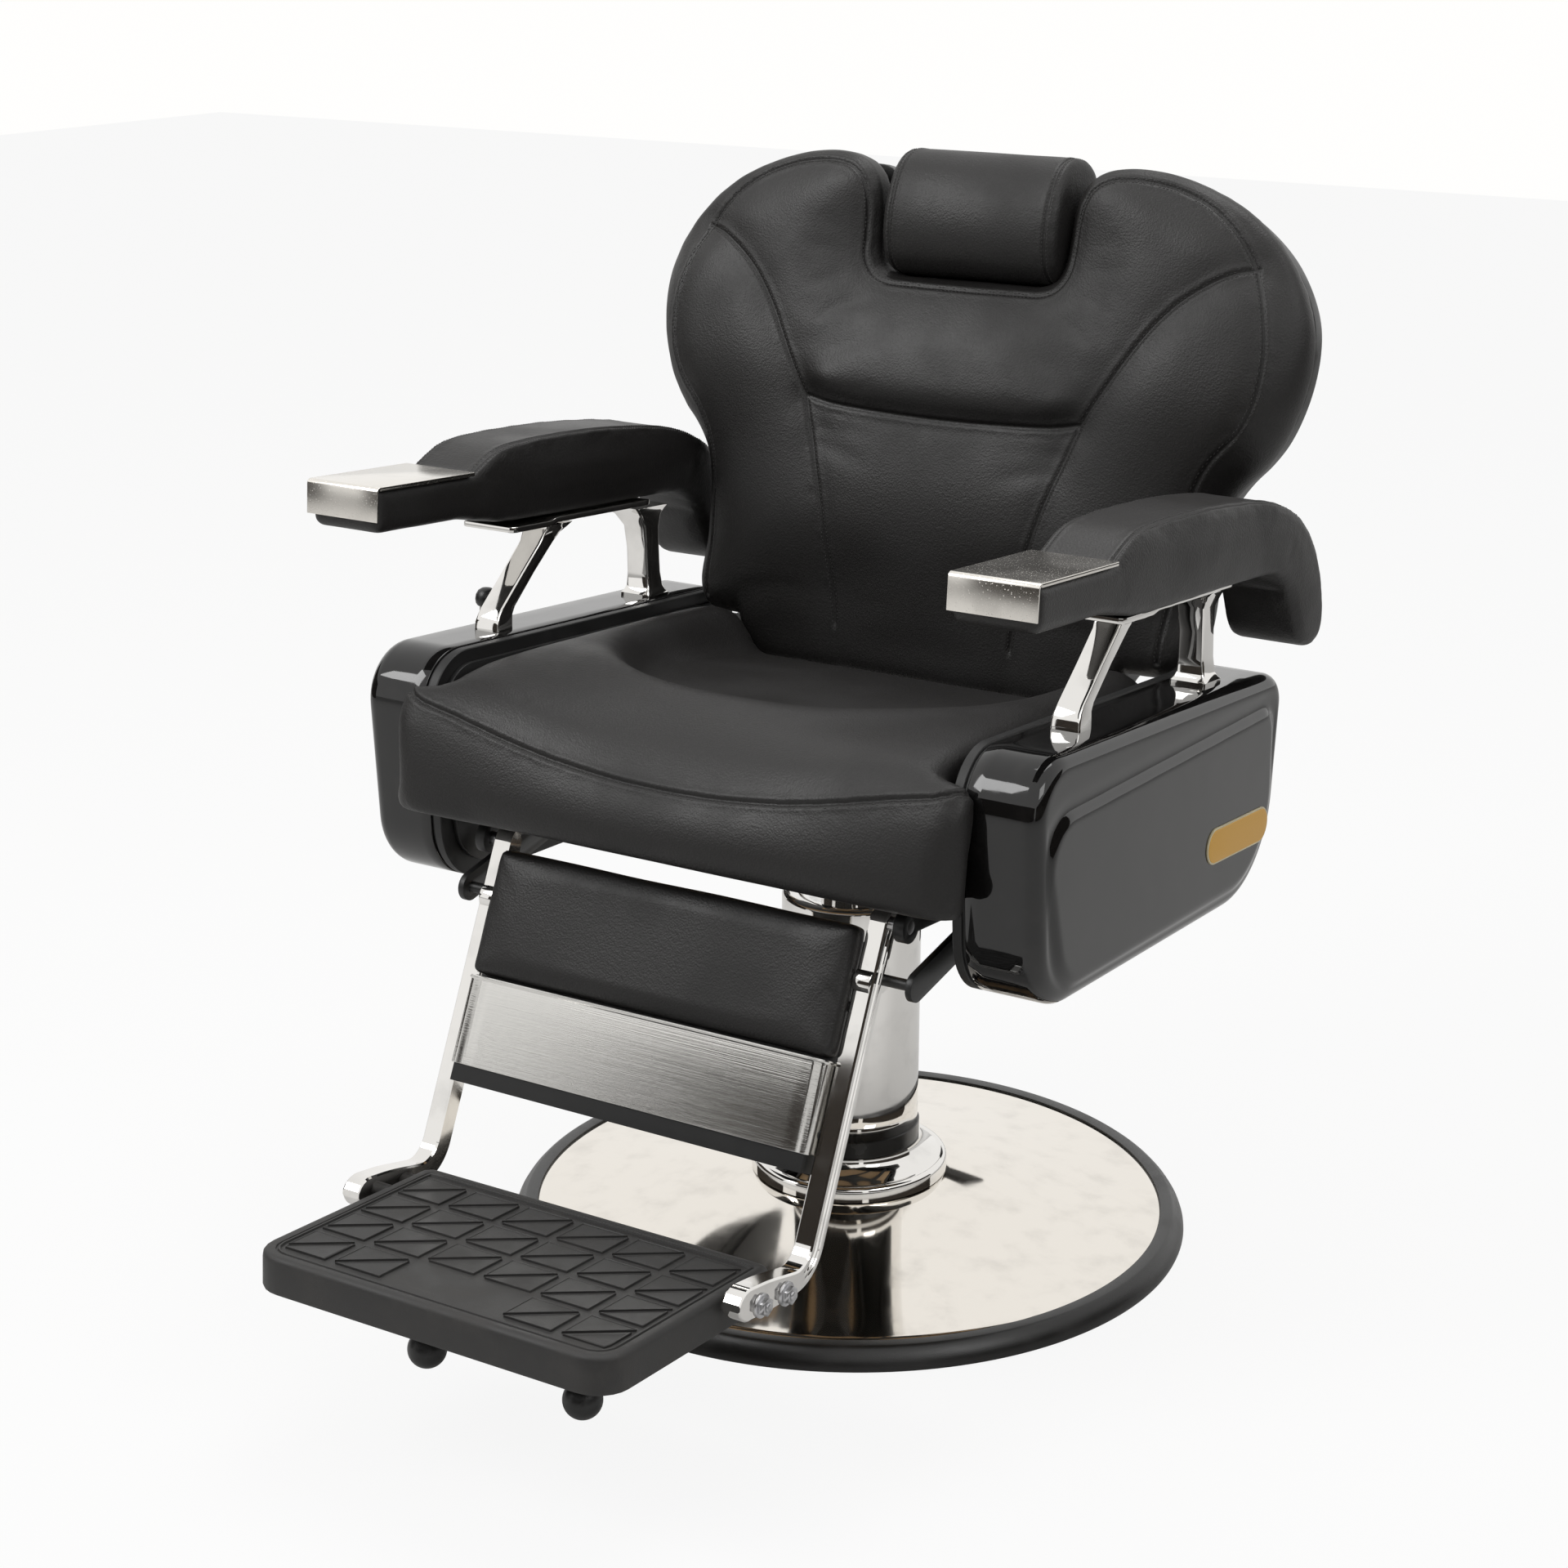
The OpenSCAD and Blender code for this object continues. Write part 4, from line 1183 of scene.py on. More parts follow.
Section = Callable[[float], list[tuple[float, float]]]


def bar_rings(line: Sequence[Vector], x: float, section: Section) -> list[list[Vector]]:
    """Rings along a line of the YZ plane.

    Args:
        line: The points of the line.
        x: Where the bar's middle is across the chair.
        section: Gives a ring's (across, outwards) points at a share of the length.

    Returns:
        The rings.
    """
    rings = []
    last = len(line) - 1
    for k, point in enumerate(line):
        tangent = (line[min(last, k + 1)] - line[max(0, k - 1)]).normalized()
        normal = Vector((1, 0, 0)).cross(tangent)
        rings.append([Vector((x + across, 0, 0)) + point + normal * out
                      for across, out in section(k / last)])
    return rings


def eased_box(half_x: float, half_out: float, radius: float) -> list[tuple[float, float]]:
    """The points of a rectangle with rounded corners, for a bar's section."""
    corners = [(-half_x, -half_out), (half_x, -half_out), (half_x, half_out), (-half_x, half_out)]
    held = min(radius, half_x * 0.98, half_out * 0.98)
    return [(p.x, p.y) for p in rounded_outline([(u, v, held) for u, v in corners], 4)]


def post_rings(stations: Sequence[tuple[Vector, float, float]],
               radius: float) -> list[list[Vector]]:
    """Level rings of rounded rectangles: each station is (middle, half x, half y)."""
    return [[middle + Vector((u, v, 0)) for u, v in eased_box(half_x, half_y, radius)]
            for middle, half_x, half_y in stations]


def inset_outline(outline: Sequence[Vector], distance: float) -> list[Vector]:
    """A counter-clockwise outline moved inwards along its own normals."""
    count = len(outline)
    moved = []
    for k, point in enumerate(outline):
        run = outline[(k + 1) % count] - outline[k - 1]
        inward = Vector((-run.y, run.x, 0)).normalized()
        moved.append(point + inward * distance)
    return moved


def edge_rings(outline: Sequence[Vector], low: float, high: float, low_round: float,
               high_round: float, steps: int = 5) -> list[list[Vector]]:
    """Rings of a slab whose two rims are rounded, from its low side to its high side."""
    rounds = quarter(steps)
    stations = [(low_round * b, low + low_round * a) for a, b in rounds]
    stations += [(high_round * a, high - high_round * b) for a, b in rounds]
    return [level_ring(outline, inset, height) for inset, height in stations]


def level_ring(outline: Sequence[Vector], inset: float, height: float) -> list[Vector]:
    """An outline moved inwards, at a height."""
    return [Vector((p.x, p.y, height)) for p in inset_outline(outline, inset)]


def to_yz() -> Matrix:
    """Turns a form laid out as (y, z, x) into the chair's own axes."""
    return Matrix(((0, 0, 1, 0), (1, 0, 0, 0), (0, 1, 0, 0), (0, 0, 0, 1)))


def to_xz() -> Matrix:
    """Turns a form laid out as (x, z, y) into the chair's own axes."""
    return Matrix(((1, 0, 0, 0), (0, 0, 1, 0), (0, 1, 0, 0), (0, 0, 0, 1)))


@dataclass
class FoamBlock:
    """A block of foam with a free outline and rounded rims, ready for a cover.

    It is laid out in its outline's plane: the block runs from 0 to depth along Z, and
    its face is at 0.
    """

    outline: list[Vector]
    depth: float
    face_reach: float
    face_drop: float
    rear_reach: float = 8 * MM
    rear_drop: float = 8 * MM
    tightness: Callable[[Vector], float] = lambda spot: 1.0

    def build(self, sewing: Upholstery, name: str, relax: int = 3) -> Piece:
        """Makes the block as an even mesh.

        Args:
            sewing: The upholstery settings, which hold the voxel size.
            name: The object's name.
            relax: How often the surface is smoothed.

        Returns:
            The object.
        """
        form = Form()
        first = [Vector((p.x, p.y, 0)) for p in self.outline]
        last = [Vector((p.x, p.y, self.depth)) for p in self.outline]
        form.loft([first, last]).welded()
        piece = form.object(name)
        sewing.remesh(piece, 0)
        self._round(piece)
        sewing.relax(piece, relax)
        return piece

    def _round(self, piece: Piece) -> None:
        """Bends the block's rims from square to round."""
        dense = even_ring(self.outline, 2 * MM)
        count = len(dense)
        tree = line_tree(dense)
        inward = []
        for k in range(count):
            run = dense[(k + 4) % count] - dense[k - 4]
            inward.append(Vector((-run.y, run.x, 0)).normalized())
        for vert in piece.data.vertices:
            flat = Vector((vert.co.x, vert.co.y, 0))
            near, index, distance = tree.find(flat)
            if (flat - near).dot(inward[index]) < 0:
                distance = 0.0
            way = inward[index]
            side = vert.co.z
            share = self.tightness(near)
            if side < self.depth * 0.62:
                new_in, new_z = self._arc(distance, side, self.face_reach * share,
                                          self.face_drop * share)
            else:
                new_in, mirrored = self._arc(distance, self.depth - side, self.rear_reach,
                                             self.rear_drop)
                new_z = self.depth - mirrored
            if distance < max(self.face_reach, self.rear_reach):
                vert.co = flat + way * (new_in - distance)
            vert.co.z = new_z

    @staticmethod
    def _arc(inset: float, drop: float, reach: float, fall: float) -> tuple[float, float]:
        """Moves a place on a square rim to the same share of a round rim.

        Args:
            inset: The distance in from the outline.
            drop: The distance back from the face.
            reach: How far in the round rim starts.
            fall: How far back it ends.

        Returns:
            The new distances.
        """
        if inset >= reach or drop >= fall:
            return inset, drop
        share = 0.5 * (1 + inset / reach) - 0.5 * (drop / fall)
        angle = math.pi / 2 * min(1.0, max(0.0, share))
        return reach * (1 - math.cos(angle)), fall * (1 - math.sin(angle))


# ---------- base, column, ram and foot lever ----------


@dataclass
class BaseAndColumn:
    """The spun dish on its rubber ring, with the collar and the shrouded pump."""

    ring_r: float = 0.330
    disc_r: float = 0.306
    disc_low: float = 0.020
    disc_rise: float = 0.034
    disc_power: float = 1.2
    disc_wall: float = 0.002
    collar_r: float = 0.096
    collar_low: float = 0.054
    collar_high: float = 0.070
    foot_r: float = 0.088
    band_low: float = 0.088
    band_high: float = 0.105
    shroud_r: float = 0.067
    shroud_top: float = 0.340
    shroud_wall: float = 0.0025
    bore_r: float = 0.055
    slot_half: float = 0.0165
    slot_low: float = 0.218
    slot_high: float = 0.254

    def build(self, shop: Workshop) -> None:
        """Builds and dresses everything that stands still."""
        finishes = shop.finishes
        shop.make(self._disc(), "base_dish", finishes.dish, "base", ["base_disc"])
        shop.make(self._ring(), "base_rubber_ring", finishes.ring, "base", ["base_ring"])
        shop.make(self._collar(), "column_collar", finishes.chrome, "base", ["collar_ring"])
        shop.make(self._foot(), "column_cone", finishes.chrome, "base", ["column_foot"])
        shop.make(self._band(), "column_dark_band", finishes.band, "base", ["column_band"])
        self._shroud(shop)
        shop.softened("lever_bracket", finishes.chrome)
        shop.softened("base_bolts", finishes.steel, 0.5 * MM)
        shop.finish_node("base_plate", finishes.coat)
        shop.finish_node("pump_cylinder", finishes.coat)

    def _disc(self) -> Form:
        """The dish, spun from one sheet, with its rim rolled over."""
        steps = 28
        inner = self.collar_r - 4 * MM
        upper = []
        for k in range(steps + 1):
            t = k / steps
            height = self.disc_low + self.disc_rise * (1 - t) ** self.disc_power
            upper.append((inner + (self.disc_r - inner) * t, height))
        lower = [(r, z - self.disc_wall) for r, z in reversed(upper)]
        lip = [(self.disc_r + 0.7 * MM, self.disc_low - 0.5 * MM),
               (self.disc_r + 0.7 * MM, self.disc_low - 1.5 * MM)]
        top = self.disc_low + self.disc_rise
        return Form().spin([(self.bore_r, top), *upper, *lip, *lower,
                            (self.bore_r, top - self.disc_wall)], 192)

    def _ring(self) -> Form:
        """The rubber ring, with a soft bead where it holds the dish."""
        edge = self.disc_r
        return Form().spin([
            (0.3006, 0.0), (0.3265, 0.0), (0.3292, 0.0008), (self.ring_r, 0.0030),
            (self.ring_r - 0.3 * MM, 0.0062), (0.3280, 0.0110), (0.3250, 0.0158),
            (0.3216, 0.0196), (0.3192, 0.0214), (0.3176, 0.0219), (edge + 0.9 * MM, 0.0212),
            (edge + 0.8 * MM, 0.0176), (0.3006, 0.0176)], 192)

    def _collar(self) -> Form:
        """The collar, a turned ring with eased rims."""
        r, low, high = self.collar_r, self.collar_low, self.collar_high
        return Form().spin([
            (self.shroud_r, low), (r - 0.8 * MM, low), (r, low + 0.8 * MM),
            (r, high - 5 * MM), (r - 0.5 * MM, high - 3 * MM), (r - 1.8 * MM, high - 1.2 * MM),
            (r - 3.6 * MM, high - 0.3 * MM), (r - 6 * MM, high), (self.shroud_r, high)], 160)

    def _foot(self) -> Form:
        """The flared foot of the column."""
        low, high = self.collar_high, self.band_low
        flare = []
        for k in range(13):
            t = k / 12
            neck = self.shroud_r + 3 * MM
            radius = neck + (self.foot_r - neck) * (1 - t) ** 2.2
            flare.append((radius, low + (high - low) * t))
        return Form().spin([(self.bore_r, low), *flare, (self.bore_r, high)], 160)

    def _band(self) -> Form:
        """The dark band under the shroud."""
        r, low, high = self.shroud_r + 1.5 * MM, self.band_low, self.band_high
        return Form().spin([
            (r - 12 * MM, low), (r - 0.7 * MM, low), (r, low + 0.7 * MM), (r, high - 0.9 * MM),
            (r - 0.9 * MM, high), (r - 12 * MM, high)], 160)

    def _shroud(self, shop: Workshop) -> None:
        """The chromed shroud, with a rolled top and a slot for the foot lever."""
        r, top = self.shroud_r, self.shroud_top
        middle = (self.slot_low + self.slot_high) / 2
        heights = [top - 4 * MM, 0.31, 0.28, self.slot_high, middle, self.slot_low, 0.19, 0.16,
                   0.13, self.band_high]
        rolled = [(0.031, top), (r - 4 * MM, top), (r - 2 * MM, top - 0.5 * MM),
                  (r - 0.5 * MM, top - 2 * MM)]
        form = Form()
        form.spin([*rolled, *[(r, z) for z in heights]], 160, closed=False)
        gap = [face for face in form.bm.faces if self._in_slot(face.calc_center_median())]
        bmesh.ops.delete(form.bm, geom=gap, context="FACES")
        piece = shop.make(form, "column_chrome_shroud", shop.finishes.chrome, "base",
                          ["column_shroud"])
        wall = piece.modifiers.new("wall", "SOLIDIFY")
        wall.thickness = self.shroud_wall
        wall.offset = -1

    def _in_slot(self, spot: Vector) -> bool:
        """Whether a place on the shroud lies in the lever's slot."""
        return (abs(spot.x) < self.slot_half and spot.y > 0
                and self.slot_low < spot.z < self.slot_high)


@dataclass
class Ram:
    """The polished ram and the bronze washer that the seat turns on."""

    ram_r: float = 0.028
    foot: float = 0.050
    shoulder: float = 0.376
    spigot_r: float = 0.022
    spigot_top: float = 0.396
    washer_t: float = 0.003

    def build(self, shop: Workshop) -> None:
        """Builds and dresses the ram and the washer."""
        r, ease = self.ram_r, 1 * MM
        ram = Form().spin([
            (0, self.foot), (r - ease, self.foot), (r, self.foot + ease),
            (r, self.shoulder - ease), (r - ease, self.shoulder), (self.spigot_r, self.shoulder),
            (self.spigot_r, self.spigot_top - ease), (self.spigot_r - ease, self.spigot_top),
            (0, self.spigot_top)], 96, closed=False)
        shop.make(ram, "polished_ram", shop.finishes.chrome, "ram", ["ram"])
        outer, low, high = r + 4 * MM, self.shoulder, self.shoulder + self.washer_t
        washer = Form().spin([
            (self.spigot_r, low), (outer - 0.4 * MM, low), (outer, low + 0.4 * MM),
            (outer, high - 0.4 * MM), (outer - 0.4 * MM, high), (self.spigot_r, high)], 96)
        shop.make(washer, "bronze_washer", shop.finishes.bronze, "ram", ["thrust_washer"])


@dataclass
class PumpLever:
    """The foot lever behind the column, with its ribbed rubber pedal."""

    line: Profile = (
        (0.072, 0.232), (0.150, 0.284), (0.215, 0.280), (0.302, 0.2045))
    bend_r: float = 0.034
    half_x: float = 0.0059
    root_half: float = 0.0098
    tip_half: float = 0.0078
    pin_r: float = 0.0049
    pin_half: float = 0.0139
    pedal_half: float = 0.032
    pedal_rear: Triple = (0.300, 0.200, 0.012)
    pedal_front: Triple = (0.330, 0.192, 0.009)
    ribs: int = 13

    def build(self, shop: Workshop) -> None:
        """Builds and dresses the lever and its pedal."""
        shop.make(self._lever(), "foot_lever", shop.finishes.chrome, "pump_lever",
                  ["pump_lever"])
        shop.make(self._pedal(), "foot_pedal", shop.finishes.ball, "pump_lever",
                  ["pump_pedal"], sharp=50.0)

    def _lever(self) -> Form:
        """The bent bar, its round eye and its pin."""

        def section(share: float) -> list[tuple[float, float]]:
            """The bar's section, narrower towards the tip and closed at the root."""
            half = self.root_half + (self.tip_half - self.root_half) * smooth(share * 3)
            half *= math.sqrt(max(0.02, 1 - max(0.0, 1 - share * 22) ** 2))
            return eased_box(self.half_x, half, 2.4 * MM)

        line = bent(self.line, self.bend_r, 3 * MM)
        form = Form().loft(bar_rings(line, 0, section))
        form.rod((-self.pin_half, 0.078, 0.236), (self.pin_half, 0.078, 0.236), self.pin_r, 40)
        return form.welded()

    def _pedal(self) -> Form:
        """The rubber pedal, ribbed across the foot."""
        outline = hull_of([self.pedal_rear, self.pedal_front], 2.2 * MM)
        rings = []
        stations = self.ribs * 6
        for k in range(stations + 1):
            across = -self.pedal_half + 2 * self.pedal_half * k / stations
            end = min(1.0, (1 - abs(across) / self.pedal_half) * 9)
            inset = 5 * MM * (1 - math.sqrt(1 - (1 - end) ** 2))
            inset += 0.8 * MM * (0.5 - 0.5 * math.cos(math.tau * k / 6)) * smooth(end)
            rings.append([Vector((p.x, p.y, across)) for p in inset_outline(outline, inset)])
        return Form().loft(rings).moved(to_yz()).welded()


# ---------- seat unit ----------


@dataclass
class SeatFrame:
    """The painted steel under the cushion, and the pins and strut in it."""

    painted: tuple[str, ...] = (
        "swivel_plate", "frame_rail_left", "frame_rail_right", "frame_cross_front",
        "frame_cross_rear", "side_plate_left", "side_plate_right", "strut_cylinder")
    plain: tuple[str, ...] = ("back_pins", "foot_pins", "lever_pivot")

    def build(self, shop: Workshop) -> None:
        """Eases the edges of each frame part and paints or plates it."""
        for node in self.painted:
            shop.softened(node, shop.finishes.coat)
        for node in self.plain:
            shop.softened(node, shop.finishes.steel, 0.4 * MM)
        shop.softened("seat_board", shop.finishes.ply)
        shop.softened("strut_rod", shop.finishes.chrome, 0.4 * MM)
        for side in Side:
            shop.softened(f"link_{side.word}", shop.finishes.coat)


@dataclass
class SeatCushion:
    """The seat: a deep front roll, a dished middle and a smiling seam."""

    front: float = -0.343
    rear: float = 0.106
    half_w: float = 0.257
    ear_half_w: float = 0.293
    low: float = 0.0275
    crest: float = 0.1620
    dish_half_x: float = 0.218
    dish_front: float = 0.222
    dish_rear: float = 0.215
    dish_power: float = 2.6
    dish_depth: Profile = (
        (-0.22, 0.024), (-0.12, 0.028), (0.0, 0.032), (0.08, 0.036), (0.11, 0.037))
    dish_wall: float = 0.034
    side_round: float = 0.024
    middle_profile: Profile = (
        (-0.3190, 0.0260), (-0.3330, 0.0265), (-0.3400, 0.0320), (-0.3425, 0.0430),
        (-0.3400, 0.0620), (-0.3330, 0.0800), (-0.3220, 0.0970), (-0.3080, 0.1120),
        (-0.2900, 0.1270), (-0.2680, 0.1400), (-0.2400, 0.1510), (-0.2080, 0.1585),
        (-0.1700, 0.1620))
    corner_profile: Profile = (
        (-0.3190, 0.0260), (-0.3340, 0.0265), (-0.3410, 0.0310), (-0.3435, 0.0420),
        (-0.3430, 0.0660), (-0.3405, 0.0900), (-0.3355, 0.1130), (-0.3265, 0.1320),
        (-0.3100, 0.1455), (-0.2860, 0.1535), (-0.2550, 0.1585), (-0.2150, 0.1610),
        (-0.1700, 0.1620))
    link_rise: float = 0.287
    link_offset: float = 0.077
    channel_x: float = 0.222

    def build(self, shop: Workshop) -> None:
        """Builds, inflates, sews and dresses the cushion."""
        sewing = Upholstery(voxel=6 * MM, cap=10 * MM, pressure=3.2)
        piece = self._block(sewing)
        seams = self._seams(piece)
        sewing.inflate(piece, self._held, seams)
        sewing.refine(piece)
        seams = laid_again(piece, seams)
        stitches = sewing.finish(piece, seams, lambda cover: laid_again(cover, seams),
                                 (0.7 * MM, 9.0), "seat_stitches")
        shop.upholster(piece, stitches, SEAT, "seat", "seat_cushion")

    def _width(self, y: float) -> float:
        """Half the cushion's width at a place along it."""
        ahead = y - self.front
        return lookup(ahead, [
            (0, self.ear_half_w - 0.009), (0.003, self.ear_half_w - 0.004),
            (0.008, self.ear_half_w), (0.022, self.ear_half_w), (0.033, self.ear_half_w),
            (0.0385, self.half_w), (0.400, self.half_w), (0.446, self.half_w - 0.008)])

    def _dish(self, x: float, y: float) -> float:
        """How far the top is sunk by the dish."""
        back = max(0.0, y) / self.dish_rear
        fore = max(0.0, -y) / self.dish_front
        aside = abs(x / self.dish_half_x)
        reach = sum(way ** self.dish_power for way in (aside, fore, back)) ** (
            1 / self.dish_power)
        inside = (1 - reach) * 0.21
        rim = 3.2 * MM * bell(inside + 0.008, 0.015)
        return lookup(y, self.dish_depth) * smooth(inside / self.dish_wall) - rim

    def _under(self, x: float, y: float) -> float:
        """The height of the underside, with a channel over each link bar."""
        channel = max(self.low, self.link_rise * y + self.link_offset)
        return channel if abs(x) > self.channel_x else self.low

    def _rows(self) -> list[tuple[Vector, Vector]]:
        """Where each row lies in the middle and at the corners, from the front to the rear."""
        count, tail = 34, 40
        curves = (curve_through([Vector((0, y, z)) for y, z in table], 6 * MM)
                  for table in (self.middle_profile, self.corner_profile))
        middle, corner = (even(line, length_of(line) / count) for line in curves)
        start = self.middle_profile[-1][0]
        level = (Vector((0, start + (self.rear - start) * k / tail, self.crest))
                 for k in range(1, tail + 1))
        return [*zip(middle, corner), *((place, place) for place in level)]

    def _block(self, sewing: Upholstery) -> Piece:
        """The closed form, as an even mesh."""
        columns = [math.sin(math.pi / 2 * (k / 24 - 1)) for k in range(49)]
        rows = self._rows()
        rings = []
        for index, (a, b) in enumerate(rows):
            top, under = [], []
            following = rows[min(index + 1, len(rows) - 1)]
            before = rows[max(index - 1, 0)]
            run = (following[1] - before[1]).normalized()
            sink = Vector((0, run.z, -run.y))
            for u in columns:
                spot = a.lerp(b, smooth(abs(u) * 1.02) ** 1.3)
                half = self._width(spot.y)
                x = u * half
                edge = max(0.0, (abs(x) - (half - self.side_round)) / self.side_round)
                drop = self.side_round * 0.8 * (1 - math.sqrt(max(0.0, 1 - edge * edge)))
                place = Vector((x, spot.y, spot.z - self._dish(x, spot.y))) + sink * drop
                rear_fall = 0.007 * smooth((spot.y - 0.085) / 0.021)
                place.z = max(place.z - rear_fall, self._under(x, spot.y) + 0.6 * MM)
                top.append(place)
                bottom_y = max(spot.y, self.front + 0.021 + index * 0.05 * MM)
                under.append(Vector((x, bottom_y, self._under(x, bottom_y))))
            rings.append([*top, *reversed(under)])
        piece = Form().loft(rings).welded().object("seat_cushion_cover")
        sewing.remesh(piece, 3)
        return piece

    def _seams(self, piece: Piece) -> list[Seam]:
        """The seam across the front roll and back along both sides."""
        knots = [(-0.292, -0.300, 0.137), (-0.286, -0.318, 0.139), (-0.262, -0.335, 0.136),
                 (-0.225, -0.335, 0.127), (-0.170, -0.335, 0.114), (-0.100, -0.335, 0.103),
                 (0.0, -0.335, 0.0975)]
        knots += [(-x, y, z) for x, y, z in reversed(knots[:-1])]
        line = curve_through([Vector(k) for k in knots], 2 * MM)
        return [Seam(on_surface(piece, line), depth=2.4 * MM, rows=(4.6 * MM,))]

    def _held(self, spot: Vector) -> float:
        """How firmly a place on the cushion is held while it is blown up."""
        if spot.z < self._under(spot.x, spot.y) + 8 * MM:
            return 1.0
        if abs(spot.x) > self.half_w - 2 * MM and spot.y > -0.30:
            return 1.0
        dished = smooth(self._dish(spot.x, spot.y) / (18 * MM))
        return max(dished, 1.0 - smooth((0.106 - spot.y) / 0.02))


@dataclass
class SideCovers:
    """A glossy hollow cover on each side, the matt plate behind it, and the badge."""

    circles: tuple[Triple, ...] = (
        (-0.254, 0.116, 0.050), (-0.226, 0.009, 0.063), (0.094, 0.052, 0.097),
        (0.163, 0.136, 0.030))
    raised: tuple[Triple, ...] = (
        (-0.243, 0.074, 0.042), (-0.207, 0.015, 0.056), (0.090, 0.054, 0.084),
        (0.146, 0.114, 0.022))
    plate_x: float = 0.2673
    cover_x: float = 0.2793
    face_x: float = 0.3515
    rim_round: float = 0.015
    step_down: float = 0.0038
    face_rings: int = 30
    spine: Profile = ((-0.195, 0.062), (0.108, 0.074))
    badge: tuple[Triple, ...] = ((0.046, 0.027, 0.017), (0.146, 0.027, 0.017))

    def build(self, shop: Workshop) -> None:
        """Builds and dresses the covers of both sides, and the left side's badge."""
        for side in Side:
            place = SEAT @ side.mirror
            shop.make(self._cover(), f"side_cover_{side.word}", shop.finishes.gloss, "seat",
                      [f"cover_{side.word}"], place, sharp=60.0)
            shop.make(self._plate(), f"side_cover_plate_{side.word}", shop.finishes.plate,
                      "seat", [f"cover_back_{side.word}"], place)
        shop.make(self._badge_plate(0.0, 1.5 * MM, 0.5 * MM), "badge_edge",
                  shop.finishes.cream, "seat", [], SEAT)
        shop.make(self._badge_plate(1.7 * MM, 2.0 * MM, 0.4 * MM), "badge_plate",
                  shop.finishes.gold, "seat", ["cover_badge"], SEAT)

    def _cover(self) -> Form:
        """One cover: a deep rim, a rounded edge and a face with a raised field."""
        outline = hull_of(self.circles, 5 * MM)
        field_line = hull_of(self.raised, 6 * MM)
        low, r = self.face_x - self.step_down, self.rim_round
        stations = [(3 * MM, self.cover_x), (0.6 * MM, self.cover_x),
                    (0, self.cover_x + 0.8 * MM)]
        stations += [(0, self.cover_x + (low - r - self.cover_x) * k / 4) for k in range(1, 5)]
        stations += [(r * a, low - r * b) for a, b in quarter(9, 1)]
        rings = [level_ring(outline, inset, x) for inset, x in stations]
        base = inset_outline(outline, r)
        for k in range(1, self.face_rings + 1):
            share = k / self.face_rings
            ring = []
            for point in base:
                target = self._nearest_on_spine(point)
                spot = point.lerp(target, share)
                ring.append(Vector((spot.x, spot.y, self._face(spot, field_line))))
            rings.append(ring)
        form = Form().loft(rings).welded(0.2 * MM)
        return form.moved(to_yz())

    def _nearest_on_spine(self, point: Vector) -> Vector:
        """The place on the face's middle line that a ring shrinks towards."""
        a, b = (Vector((*end, 0)) for end in self.spine)
        run = b - a
        share = min(1.0, max(0.0, (point - a).dot(run) / run.length_squared))
        return a + run * share

    def _face(self, spot: Vector, field_line: Sequence[Vector]) -> float:
        """How far out the face is at a place on it."""
        inside = depth_inside(Vector((spot.x, spot.y, 0)), field_line)
        rise = smooth((inside + 4 * MM) / (13 * MM))
        valley = bell(inside + 6 * MM, 7 * MM)
        return self.face_x - self.step_down * (1 - rise) - 0.7 * MM * valley

    def _plate(self) -> Form:
        """The matt plate behind a cover, with a groove where they meet."""
        outline = hull_of(self.circles, 5 * MM)
        low, high = self.plate_x, self.cover_x - 0.3 * MM
        stations = [(2.5 * MM, low), (0.8 * MM, low), (0.0, low + 0.8 * MM),
                    (0.0, high - 3.6 * MM), (0.6 * MM, high - 3.0 * MM),
                    (2.4 * MM, high - 2.6 * MM), (2.4 * MM, high)]
        rings = [level_ring(outline, inset, x) for inset, x in stations]
        return Form().loft(rings).moved(to_yz()).welded()

    def _badge_plate(self, inset: float, height: float, ease: float) -> Form:
        """A plain rounded plate on the cover's face."""
        outline = inset_outline(hull_of(self.badge, 1.5 * MM), inset)
        return Form().loft(edge_rings(outline, self.face_x - 0.3 * MM, self.face_x + height,
                                      0.1 * MM, ease, 4)).moved(to_yz()).welded()


